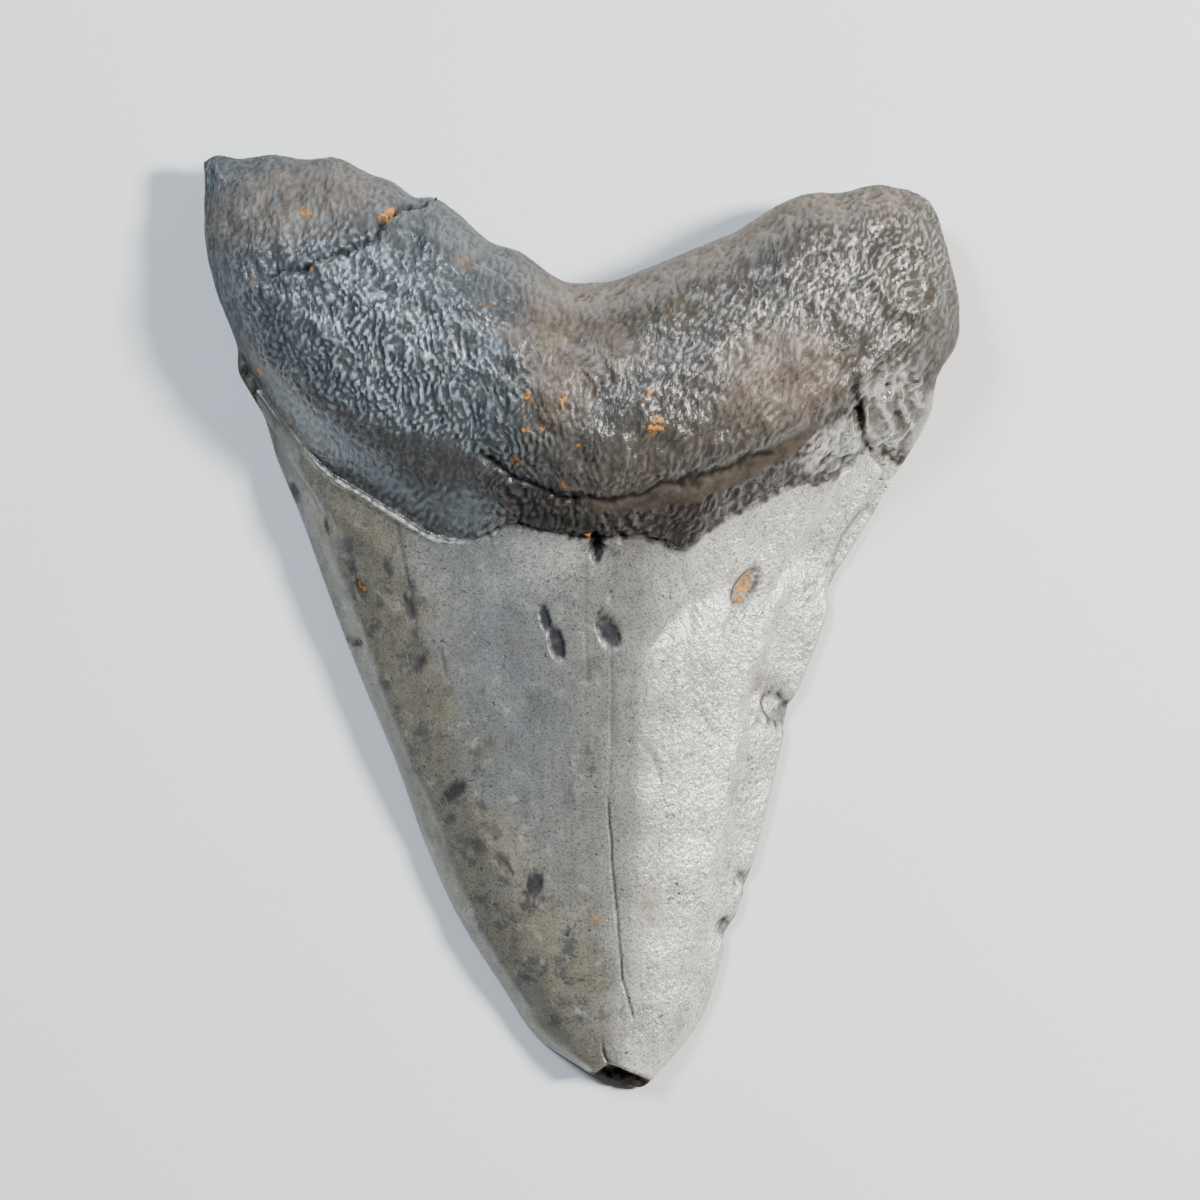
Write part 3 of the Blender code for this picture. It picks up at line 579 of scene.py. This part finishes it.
def fine_relief(x, y, around, settings):
    """Wrinkles on the root, ripples on the enamel, pits, cracks and scratches, in millimetres.

    Around holds the places along the rounded surface, which the root's repeated forms follow.
    """
    root = root_share(x, y)
    neck, strip, crinkle, streaked = neck_parts(x, y)
    dome = root - neck
    facet = ramp((y - height_of(FACET_LINE, x)) / 1.5)
    strong = ramp(0.5 + 0.45 * cloud(x, y, 8.0, 14))
    block = spots(x, y, CRUMPLED, 0.5) * root
    band, ridges = basal_band(x, around)
    amount = dome * (0.75 + 0.45 * strong) * (1 - 0.35 * facet) * (1 - 0.6 * band)
    amount = (amount + 0.9 * crinkle + 0.3 * streaked) * (1 - 0.85 * spots(x, y, GLOSSY, 0.6))
    crests = wrinkles(*around, settings.wrinkle_spacing / MM)
    relief = settings.wrinkle_depth / MM * amount * crests
    relief += 0.09 * dome * cloud(*around, 3.2, 16) + 0.08 * crinkle * cloud(x, y, 1.6, 17)
    relief -= block * (0.55 * crumple(x, y) - 0.25)
    relief += 0.24 * root * band * (np.tanh(ridges) - 0.8)
    relief -= 0.13 * streaked * bell(wave_field(x, y, 150.0, 12.0, 1.8, 36) / 0.35)

    right_third = ramp((x - 2.0 + y * 0.12) / 14.0)
    grain = settings.ripple_depth / MM * (1 - root)
    ripple = wave_field(x, y, 80.0, 22.0, 2.3, 34, 40)
    relief += grain * (0.15 * wave_field(x, y, 92.0, 5.0, 1.0, 33) + (0.25 + 0.8 * right_third) * ripple)
    relief += 0.05 * (1 - root) * cloud(x, y, 7.0, 35)

    relief -= spots(x, y, HOLLOWS, 0.4)
    relief -= score(x, y, SCORES, CRACK_WOBBLE)[0]
    relief -= score(x, y, SEAMS, SEAM_WOBBLE)[0] * root
    # Along the enamel's upper line: a raised lip at the left, a roll at the right and a crease between.
    ledge = y - height_of(ENAMEL_LINE, x)
    lip = 0.25 * bell((ledge + 0.4) / 0.4) * bell((x + 25.0) / 9.0)
    relief += lip * (1 + 0.4 * cloud(x, y, 1.2, 19))
    relief += 0.45 * bell((ledge - 0.9) / 0.8) * bell((x - 31.0) / 3.6)
    relief -= 0.3 * bell((ledge - 0.1) / 0.25) * between(x, -15.0, 26.0, 3.0, 4.0)
    return relief


def pushed(points, amount):
    """Each grid point moved by its amount along the surface's normal, the cross of its two tangents."""
    along = np.gradient(points, axis=0)
    across = np.gradient(points, axis=1)
    normal = np.cross(across, along)
    normal /= np.maximum(np.linalg.norm(normal, axis=-1, keepdims=True), 1e-9)
    return points + normal * amount[..., None]


def lingual_face(across, along, x, y, inwards, around, settings):
    """Points of the upper face: lofted rows plus relief, rounded over at the rim and cut by the break."""
    rim = smooth_through(RIM_ALONG, RIM_HEIGHT, along)[:, None]
    rounding = quarter_round(inwards, smooth_through(RIM_ALONG, UPPER_ROUND, along)[:, None])
    heights = face_heights(LINGUAL_ROWS, ACROSS, across, along) + main_relief(x, y, along)
    broken = BREAK_HEIGHT + BREAK_RISE * np.hypot(x - x[:1], y - y[:1]) + 0.25 * cloud(x, y, 1.4, 41)
    kept = ramp((y - height_of(BREAK_LINE, x)) / BREAK_EDGE + 0.5)
    heights = np.minimum(heights, broken + (heights - broken) * kept)
    full = rim + (np.maximum(heights, rim + LEAST_ABOVE_RIM) - rim) * rounding
    relief = fine_relief(x, y, around, settings)
    high = root_share(x, y) * ramp((along[:, None] - 0.7) / 0.08)
    reach = np.maximum(ramp(inwards / 0.7), high * (0.3 + 0.7 * ramp(inwards / 0.4)))
    return pushed(np.stack([x, y, full], axis=-1), relief * reach * kept)


def labial_face(across, along, x, y, inwards):
    """The lower face: lofted rows with a low shelf, rounded at the rim and flat where it lies."""
    rim = smooth_through(RIM_ALONG, RIM_HEIGHT, along)[:, None]
    rounding = quarter_round(inwards, smooth_through(RIM_ALONG, UNDER_ROUND, along)[:, None])
    heights = face_heights(LABIAL_ROWS, LABIAL_ACROSS, across, along)
    shelf = SHELF_HEIGHT * ramp((y - SHELF_AT - SHELF_CURVE * x * x) / SHELF_WIDTH)
    heights = heights + shelf * ramp((heights - SHELF_CLEAR) / SHELF_FADE)
    return np.maximum(rim - (rim - heights) * rounding, 0.0)


def border_cell(top, under, i, j):
    """One outer cell of the lower sheet, as its corners with the rim's own points between them."""
    rows, columns = under.shape[0] - 1, under.shape[1] - 1
    low, high = i * STRIDE, (i + 1) * STRIDE
    left, right = j * STRIDE, (j + 1) * STRIDE
    tip_side = top[0, left:right] if i == 0 else under[i, j:j + 1]
    right_side = top[low:high, -1] if j == columns - 1 else under[i:i + 1, j + 1]
    root_side = top[-1, right:left:-1] if i == rows - 1 else under[i + 1, j + 1:j + 2]
    left_side = top[high:low:-1, 0] if j == 0 else under[i + 1:i + 2, j]
    return [int(n) for n in np.concatenate([tip_side, right_side, root_side, left_side])][::-1]


def closed_faces(top, under):
    """Both sheets' four-cornered cells, with the rim's extra points in the lower one's border cells."""
    def cells(grid):
        return np.stack([grid[:-1, :-1], grid[:-1, 1:], grid[1:, 1:], grid[1:, :-1]], axis=-1)

    faces = cells(top).reshape(-1, 4).tolist()
    faces += cells(under[1:-1, 1:-1])[..., ::-1].reshape(-1, 4).tolist()
    rows, columns = under.shape[0] - 1, under.shape[1] - 1
    border = [(i, j) for i in range(rows) for j in (0, columns - 1)]
    border += [(i, j) for i in (0, rows - 1) for j in range(1, columns - 1)]
    return faces + [border_cell(top, under, i, j) for i, j in border]


def into_box(points):
    """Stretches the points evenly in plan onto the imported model's box, and keeps them under its top."""
    low, high = np.array(CAD_BOX[0]), np.array(CAD_BOX[1])
    first, last = points[:, :2].min(axis=0), points[:, :2].max(axis=0)
    points[:, :2] = low[:2] + (points[:, :2] - first) / (last - first) * (high[:2] - low[:2])
    points[:, 2] = np.clip(points[:, 2], low[2], high[2])
    return points


def tooth_surface(settings):
    """Points in metres, faces and the masks of the whole tooth."""
    across, along = across_spaced(), along_spaced()
    x, y = plan(across, along)
    inwards, *around = rim_distance(x, y, along)
    upper = lingual_face(across, along, x, y, inwards, around, settings)
    part = (slice(None, None, STRIDE), slice(None, None, STRIDE))
    lower = np.stack([x, y, labial_face(across, along, x, y, inwards)], axis=-1)[part]

    top = np.arange(x.size).reshape(x.shape)
    under = top[part].copy()
    inner = under[1:-1, 1:-1]
    under[1:-1, 1:-1] = x.size + np.arange(inner.size).reshape(inner.shape)
    points = np.concatenate([upper.reshape(-1, 3), lower[1:-1, 1:-1].reshape(-1, 3)])

    upper_masks = masks(x, y, inwards, around, settings)
    lower_masks = under_masks(x[part][1:-1, 1:-1], y[part][1:-1, 1:-1], upper_masks)
    joined = {
        name: np.concatenate([upper_masks[name].ravel(), lower_masks[name].ravel()])
        for name in upper_masks
    }
    return into_box(points * MM), closed_faces(top, under), joined


def masks(x, y, inwards, around, settings):
    """Where each finish, painted highlight, painted sheen and painted shade shows on the upper face, each
    as a share from 0 to 1.
    """
    root = root_share(x, y)
    neck, strip, crinkle, streaked = neck_parts(x, y)
    side = np.exp(-inwards**4) * ramp((x - 38.0) / 3.0) * between(y, 21.0, 30.0, 2.0, 2.0)
    block = spots(x, y, CRUMPLED, 0.5, 0.1) * root
    root = root * (1 - side)
    enamel = 1 - root
    ledge = y - height_of(ENAMEL_LINE, x)
    pits = spots(x, y, HOLLOWS, 0.3)
    inner = [(*row[:2], row[2] * 0.78, row[3] * 0.7, *row[4:]) for row in HOLLOWS]
    rims = pits * (1 - spots(x, y, inner, 0.3) / 0.4)
    scores = score(x, y, SCORES, CRACK_WOBBLE)[1]
    # A dark line in the crease under the neck's middle: painted shade.
    painted_shade_under_neck = bell(ledge / 0.25) * between(x, -17.0, 27.0, 3.0, 4.0)
    # A thin line along the enamel's upper edge at the left, painted pale as a highlight on the edge.
    lip = bell((ledge + 0.15) / 0.12) * bell((x + 26.5) / 10.0)
    warm_from = -19.5 - 0.25 * y + 0.65 * np.maximum(-20.0 - y, 0.0) + 1.5 * cloud(x, y, 9.0, 43)
    # The crown's right third, painted pale as a highlight.
    right = ramp((-40.0 - y) / 14.0) * ramp((x - 3.0) / 4.0)
    right = np.maximum(ramp((x - 3.0 - 0.1 * y) / 16.0), right)
    spotted = np.maximum(spots(x, y, DARK_SPOTS, 0.5, 0.15), np.clip(rims * 1.8, 0.0, 1.0))
    # The wrinkles' height, from which the material paints highlights on crests and shade in creases.
    crests = np.clip((wrinkles(*around, settings.wrinkle_spacing / MM) + 1.0) / 1.1, 0.0, 1.0)
    band, ridges = basal_band(x, around)
    crests += (np.clip(0.5 + 0.7 * np.tanh(ridges), 0.0, 1.0) - crests) * 0.8 * band
    crests += (np.clip(1.35 - 1.2 * crumple(x, y), 0.0, 1.0) - crests) * block
    return {
        "root": root,
        "neck": neck * (1 - spots(x, y, GLOSSY, 0.6, 0.1)),
        "strip": strip,
        "crest": crests + (0.6 - crests) * np.maximum(strip, 0.5 * streaked),
        # Glossy worn patches, whose crests also carry a painted glare.
        "gloss_and_glare": spots(x, y, GLOSSY, 0.6, 0.15) * root_share(x, y),
        # Blue-grey on the neck, whose long pale streaks are a painted cool reflection.
        "cool": np.maximum(streaked * 0.12, spots(x, y, LENS, 0.9, 0.3)) * root,
        "left": ramp((-2.0 - x) / 10.0),
        "band": band * root,
        "flank": root * ramp((5.0 - inwards) / 4.0) * (1 - block),
        # Painted sheen: zones where the root's crests are painted pale as reflected light.
        "painted_sheen": (root - neck) * spots(x, y, PAINTED_SHEEN, 1.6, 0.12),
        "under": np.zeros_like(x),
        "rust": spots(x, y, RUST_SPOTS, 0.8, 0.35),
        "stain_and_shade": np.maximum(np.maximum(spotted * enamel, scores), 0.8 * painted_shade_under_neck),
        "seam": score(x, y, SEAMS, SEAM_WOBBLE)[1] * root,
        "lip": lip * ramp(0.6 + 0.5 * cloud(x, y, 1.0, 42)),
        "tan": spots(x, y, TAN_STAINS, 0.9, 0.12),
        "blue": enamel * bell((x + 11.0 + 0.15 * y) / 8.0) * ramp((y + 34.0) / 22.0),
        "warm": enamel * ramp((warm_from - x) / 5.0 + 0.5) * ramp((3.5 - x) / 4.0 + 0.5),
        # Painted highlight: the right third and the glare spots of the enamel.
        "pale": enamel * np.maximum(right, spots(x, y, GLARE, 1.6, 0.2)),
        "dusk": enamel * np.maximum(ramp((-34.0 - x) / 4.0), side),
        "worn": np.clip(bell(inwards / 0.6) * enamel, 0.0, 1.0) * ramp((x + 30.0) / 4.0),
        "broken": 1 - ramp((y - height_of(BREAK_LINE, x)) / 0.5 + 0.7),
    }


def under_masks(x, y, names):
    """Where each finish shows on the lower face, whose enamel reaches higher in the middle."""
    past_shelf = y - SHELF_AT - SHELF_CURVE * x * x
    root = ramp((past_shelf + 0.3 * cloud(x, y, 3.0, 61)) / 0.8 + 0.5)
    shown = {
        "root": root,
        "flank": root,
        "crest": 0.55 + 0.1 * cloud(x, y, 2.5, 66),
        "under": root,
        "rust": 0.8 * ramp(cloud(x, y, 9.0, 62) - 1.6) * root,
        "stain_and_shade": 0.6 * ramp(cloud(x, y, 4.0, 63) - 1.5) * (1 - root),
        "tan": 0.5 * ramp(cloud(x, y, 16.0, 64)),
        "warm": (1 - root) * ramp(cloud(x, y, 30.0, 65)),
        # Painted highlight towards the right of the lower face's enamel.
        "pale": (1 - root) * ramp((x - 2.0) / 20.0) * 0.5,
        "broken": ramp((-55.0 - y) / 1.5),
    }
    return {name: shown.get(name, np.zeros_like(x)) for name in names}


class Nodes:
    """A short way to add linked shader nodes."""

    def __init__(self, material):
        material.use_nodes = True
        self.tree = material.node_tree
        self.shader = self.tree.nodes["Principled BSDF"].inputs
        self.place = self.add("ShaderNodeTexCoord").outputs["Object"]

    def add(self, kind, settings=(), feeds=()):
        """A node of that kind, with its settings and with sources or plain values on its inputs."""
        node = self.tree.nodes.new(kind)
        for name, value in dict(settings).items():
            setattr(node, name, value)
        for socket, value in dict(feeds).items():
            self.feed(node.inputs[socket], value)
        return node

    def feed(self, socket, value):
        """Links a source, or the mesh's mask of that name, to a socket, or sets a plain value."""
        if isinstance(value, str):
            value = self.add("ShaderNodeAttribute", {"attribute_name": value}).outputs["Fac"]
        if isinstance(value, bpy.types.NodeSocket):
            self.tree.links.new(value, socket)
        else:
            socket.default_value = value

    def joined(self, operation, first, *others, clamp=False):
        """Numbers joined from left to right by one arithmetic operation."""
        for value in others:
            settings = {"operation": operation, "use_clamp": clamp}
            first = self.add("ShaderNodeMath", settings, {0: first, 1: value}).outputs[0]
        return first

    plus = functools.partialmethod(joined, "ADD")
    less = functools.partialmethod(joined, "SUBTRACT")
    times = functools.partialmethod(joined, "MULTIPLY")
    most = functools.partialmethod(joined, "MAXIMUM")

    def mix(self, share, a, b):
        """Colour a turned to colour b by the share."""
        return self.add("ShaderNodeMix", {"data_type": "RGBA"}, {0: share, 6: a, 7: b}).outputs[2]

    def painted(self, base, layers):
        """The base colour under layers of (share, colour, gain), each laid over the one before."""
        for share, tint, gain in layers:
            base = self.mix(share, base, colour(tint, gain))
        return base

    def noise(self, size, detail=4.0, rough=0.55, stretch=(1.0, 1.0, 1.0)):
        """Noise in object space with features of about that size in millimetres."""
        scale = tuple(s / (size * MM) for s in stretch)
        moved = self.add("ShaderNodeMapping", feeds={"Vector": self.place, "Scale": scale}).outputs[0]
        feeds = {"Vector": moved, "Scale": 1.0, "Detail": detail, "Roughness": rough}
        return self.add("ShaderNodeTexNoise", feeds=feeds).outputs["Fac"]

    def spread(self, value, low, high, least=0.0, most=1.0):
        """A value's range from low to high turned into another, and held inside it."""
        feeds = {"Value": value, "From Min": low, "From Max": high, "To Min": least, "To Max": most}
        return self.add("ShaderNodeMapRange", {"clamp": True}, feeds).outputs["Result"]

    def varied(self, name, value, low, high, least, most=1.0):
        """A mask times a value whose range from low to high is turned into another."""
        return self.times(name, self.spread(value, low, high, least, most))


def colour(value, gain=1.0):
    """A colour as red, green, blue and alpha, lighter or darker by the gain."""
    return (*(channel * gain for channel in value), 1.0)


def tooth_material(settings):
    """Root, neck, enamel, stains, break, painted highlights and painted shade on one mineral surface,
    told apart by the mesh's own masks.
    """
    material = bpy.data.materials.new("fossil tooth finish")
    n = Nodes(material)
    grey, tan, blue = settings.enamel_colour, settings.enamel_tan_colour, settings.enamel_blue_colour
    dark, brown, fold = settings.root_colour, settings.root_brown_colour, settings.fold_colour

    fine = n.noise(0.5, 3.0)
    grit = n.noise(0.28, 3.0, 0.7)
    grain = n.noise(1.6, 5.0, 0.65)
    patch = n.noise(9.0, 4.0, 0.6)
    streak = n.noise(1.1, 4.0, 0.6, (1.0, 0.07, 0.3))
    blotch = n.spread(n.noise(3.0, 4.0, 0.65), 0.53, 0.64)
    specks = n.spread(n.noise(0.62, 2.0, 0.5), 0.63, 0.68)
    specks = n.times(specks, n.spread(n.noise(6.0, 2.0), 0.4, 0.6, 0.15))
    needles = n.noise(0.5, 3.0, 0.6, (1.0, 0.4, 0.7))
    pebbles = n.noise(1.1, 2.0, 0.5, (1.0, 0.6, 1.0))
    hammered = n.noise(0.6, 3.0, 0.6, (1.0, 0.7, 1.0))

    # The enamel: its pale zone, a painted highlight on the right third with painted glare spots, its blue
    # and tan zones, streaks, blotches, specks and worn edge.
    enamel = n.painted(colour(grey), (
        (n.varied("pale", grain, 0.25, 0.6, 0.5), grey, 4.4),
        (n.varied("blue", patch, 0.35, 0.6, 0.4), blue, 1.0),
        (n.varied("warm", patch, 0.3, 0.55, 0.5), tan, 1.0),
        (n.spread(streak, 0.42, 0.72, 0.0, 0.25), blue, 0.6),
        (n.spread(patch, 0.5, 0.68, 0.0, 0.5), tan, 0.8),
        (n.spread(grain, 0.5, 0.72, 0.0, 0.55), tan, 0.4),
        (n.times(blotch, n.spread("warm", 0.0, 1.0, 0.15, 0.75)), blue, 0.4),
        (n.varied("dusk", grain, 0.3, 0.6, 0.5), dark, 1.7),
        (n.spread(grit, 0.38, 0.52, 0.7, 0.0), grey, 0.25),
        (n.spread(grain, 0.42, 0.3, 0.0, 0.35), grey, 2.2),
        (n.times(specks, 0.8), settings.spot_colour, 1.0),
        (n.times("worn", 0.55), grey, 2.2),
    ))

    # The neck, with painted cool reflection in its pale streaks, and the root around it with its stained
    # zones and a blue-grey cast at the left, partly painted cool reflection.
    strip = n.mix(n.spread(grain, 0.35, 0.6), colour(brown, 0.3), colour(brown, 0.55))
    neck = n.mix(n.spread(patch, 0.4, 0.65, 0.0, 0.5), colour(fold), colour(dark))
    neck = n.mix("strip", neck, strip)
    # Painted cool reflection along the neck's pale streaks, over a blue-grey tint.
    neck = n.painted(neck, ((n.varied("cool", grain, 0.3, 0.7, 0.3), blue, 1.5),))
    root = n.painted(colour(dark), (
        (n.spread(patch, 0.42, 0.68, 0.0, 0.7), brown, 0.8),
        # Blue-grey at the left, partly a painted cool reflection that lightens the valleys.
        (n.times("left", 0.7), blue, 0.7),
        (n.spread(grain, 0.5, 0.75, 0.0, 0.4), dark, 2.0),
        (n.varied("tan", grain, 0.3, 0.65, 0.2), brown, 1.6),
        (n.varied("band", grain, 0.3, 0.6, 0.3, 0.9), brown, 2.1),
    ))
    root = n.mix("neck", root, neck)

    # Painted shade in the wrinkles' creases and painted highlights on their crests. The lower face has
    # pebbles instead.
    crest = n.times(n.less(pebbles, 0.5), n.times("under", 3.0))
    crest = n.plus(crest, "crest", clamp=True)
    # The share of painted shade in the wrinkles' creases.
    deep = n.times(n.spread(crest, 0.1, 0.55, 0.45, 0.0), n.spread(fine, 0.35, 0.6, 0.4))
    root = n.painted(root, (
        # Painted glare on the glossy patches' crests.
        (n.varied("gloss_and_glare", "crest", 0.0, 0.7, 0.15, 0.95), grey, 3.6),
        (deep, fold, 0.5),
    ))
    # Painted highlights on the crests, bluish at the left and paler in the painted sheen.
    crest_highlight = n.mix("left", colour(grey, 1.1), colour(blue, 1.8))
    painted_sheen = n.mix("left", colour(grey, 2.6), colour(blue, 4.2))
    crest_highlight = n.mix("painted_sheen", crest_highlight, painted_sheen)
    crest_highlight_share = n.times(n.spread(crest, 0.4, 0.95), n.spread("painted_sheen", 0.0, 1.0, 0.32),
                     n.spread(grain, 0.3, 0.6, 0.35))
    root = n.mix(crest_highlight_share, root, crest_highlight)
    root = n.painted(root, ((n.times("seam", 0.9), fold, 0.2),))

    # Stains with a painted shade line under the neck, the lip painted pale as a highlight on its edge,
    # the broken tip and rust lie over both.
    stain_and_shade = n.times("stain_and_shade", n.spread(grain, 0.25, 0.5, 0.7), clamp=True)
    rust = n.times("rust", n.spread(fine, 0.35, 0.6, 0.1, 1.3), clamp=True)
    whole = n.painted(n.mix("root", enamel, root), (
        (stain_and_shade, settings.spot_colour, 1.0),
        (n.varied("tan", grain, 0.35, 0.65, 0.05, 0.6), brown, 1.8),
        (n.times("lip", 0.85), grey, 3.2),
        ("broken", brown, 0.35),
        (n.spread(rust, 0.1, 0.45, 0.0, 0.85), settings.rust_colour, 0.35),
        (n.spread(rust, 0.4, 0.75), settings.rust_colour, 1.0),
    ))

    # Stained and hollow places are rougher and reflect less.
    edges = n.times(n.most("flank", "band"), 0.85)
    matt = n.most("seam", "strip", "tan", edges)
    hollow = n.times(n.spread(crest, 0.15, 0.6, 0.9, 0.0), "root")
    dull = n.most(stain_and_shade, "broken", rust, matt)
    shine = n.spread(n.most(dull, hollow), 0.0, 1.0, 0.62, 0.08)
    rough = n.add("ShaderNodeMix", {"data_type": "FLOAT"}, {
        0: "root",
        2: n.spread(grain, 0.3, 0.7, 0.24, 0.38),
        3: n.spread(grain, 0.3, 0.7, 0.17, 0.3),
    }).outputs[0]
    rough = n.plus(rough, n.times(dull, 0.3), clamp=True)
    rough = n.less(rough, n.times("gloss_and_glare", 0.1), clamp=True)
    lustre = n.times(n.spread("pale", 0.0, 1.0, 0.12, 0.25), n.less(1.0, "root"))
    lustre = n.plus(lustre, n.times("root", 0.2), n.times("gloss_and_glare", 0.6))
    lustre = n.times(lustre, n.less(1.0, n.most(dull, hollow), clamp=True))

    wrinkled = n.times("root", n.less(1.0, "strip"))
    lift = n.plus(
        n.times(fine, 0.4), n.times(grain, 0.5), n.times(grit, 0.35), n.times(specks, -0.35),
        n.times(needles, wrinkled, 1.8), n.times(hammered, "pale", 4.5),
        n.times(pebbles, "under", 9.0),
    )
    strength = n.spread("root", 0.0, 1.0, 0.5, 0.8)
    feeds = {"Height": lift, "Strength": strength, "Distance": BUMP_HEIGHT * MM}
    normal = n.add("ShaderNodeBump", feeds=feeds).outputs["Normal"]

    for name, value in (
        ("Base Color", whole), ("Roughness", rough), ("Normal", normal), ("IOR", 1.55),
        ("Specular IOR Level", shine), ("Metallic", lustre),
    ):
        n.feed(n.shader[name], value)
    return material


def floor_material(settings):
    """Plain matte floor with a trace of mottling."""
    material = bpy.data.materials.new("pale floor")
    n = Nodes(material)
    tone = n.mix(n.noise(60.0), colour(settings.floor_colour), colour(settings.floor_colour, 0.97))
    n.feed(n.shader["Base Color"], tone)
    n.feed(n.shader["Roughness"], 0.8)
    return material


class TOOTH_OT_build(bpy.types.Operator):
    """Build the tooth with its root, neck and crown as one surface"""
    bl_idname = "tooth.build"
    bl_label = "Build Tooth"

    def execute(self, context):
        settings = context.scene.tooth_settings
        points, faces, marks = tooth_surface(settings)
        mesh = bpy.data.meshes.new("tooth_surface")
        mesh.from_pydata(points.tolist(), [], faces)
        mesh.shade_smooth()
        for name, values in marks.items():
            mask = mesh.attributes.new(name, "FLOAT", "POINT")
            mask.data.foreach_set("value", values.astype(np.float32))
        mesh.materials.append(tooth_material(settings))
        tooth = bpy.data.objects.new("tooth_surface", mesh)
        context.scene.collection.objects.link(tooth)
        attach(tooth, "root")
        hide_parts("tooth")
        return {"FINISHED"}


def area_light(context, name, power, towards, distance, size, colour):
    """A square soft light that looks at the tooth from the given direction."""
    light = bpy.data.lights.new(name, "AREA")
    light.size = size
    light.energy = power
    light.color = colour
    lamp = bpy.data.objects.new(name, light)
    lamp.location = Vector(towards).normalized() * distance
    lamp.rotation_euler = Vector(towards).to_track_quat("Z", "Y").to_euler()
    context.scene.collection.objects.link(lamp)


class STAGE_OT_build(bpy.types.Operator):
    """Lay the pale floor, hang the soft lights and set the camera straight above"""
    bl_idname = "stage.build"
    bl_label = "Build Stage"

    def execute(self, context):
        settings = context.scene.stage_settings
        mesh = bpy.data.meshes.new("floor")
        corners = [(FLOOR_REACH * x, FLOOR_REACH * y, 0.0) for x, y in FLOOR_CORNERS]
        mesh.from_pydata(corners, [], [(0, 1, 2, 3)])
        mesh.materials.append(floor_material(settings))
        floor = bpy.data.objects.new("floor", mesh)
        context.scene.collection.objects.link(floor)

        area_light(context, "key", settings.key_power, *KEY_LIGHT)
        area_light(context, "fill", settings.fill_power, *FILL_LIGHT)
        world = bpy.data.worlds.new("studio")
        world.use_nodes = True
        sky = world.node_tree.nodes["Background"].inputs
        sky["Color"].default_value = SKY_COLOUR
        sky["Strength"].default_value = SKY_STRENGTH
        context.scene.world = world

        camera = bpy.data.cameras.new("camera")
        camera.lens = LENS_LENGTH
        camera.sensor_width = SENSOR_WIDTH
        camera.clip_start = NEAREST_SEEN
        eye = bpy.data.objects.new("camera", camera)
        eye.location = (EYE_X, EYE_Y, settings.camera_height)
        context.scene.collection.objects.link(eye)
        context.scene.camera = eye
        return {"FINISHED"}


class TOOTH_PT_panel(bpy.types.Panel):
    """Settings and steps of the tooth"""
    bl_label = "Fossil Tooth"
    bl_idname = "TOOTH_PT_panel"
    bl_space_type = "VIEW_3D"
    bl_region_type = "UI"
    bl_category = "Tooth"

    def draw(self, context):
        layout = self.layout
        for group, operator in (("tooth_settings", "tooth.build"), ("stage_settings", "stage.build")):
            settings = getattr(context.scene, group)
            for name in settings.bl_rna.properties.keys():
                if name not in {"rna_type", "name"}:
                    layout.prop(settings, name)
            layout.operator(operator)


CLASSES = (ToothSettings, StageSettings, TOOTH_OT_build, STAGE_OT_build, TOOTH_PT_panel)


def register():
    for made in CLASSES:
        bpy.utils.register_class(made)
    bpy.types.Scene.tooth_settings = bpy.props.PointerProperty(type=ToothSettings)
    bpy.types.Scene.stage_settings = bpy.props.PointerProperty(type=StageSettings)


def unregister():
    del bpy.types.Scene.tooth_settings
    del bpy.types.Scene.stage_settings
    for made in reversed(CLASSES):
        bpy.utils.unregister_class(made)


def main():
    """Registers the add-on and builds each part."""
    register()
    bpy.ops.tooth.build()
    bpy.ops.stage.build()


if __name__ == "__main__":
    main()
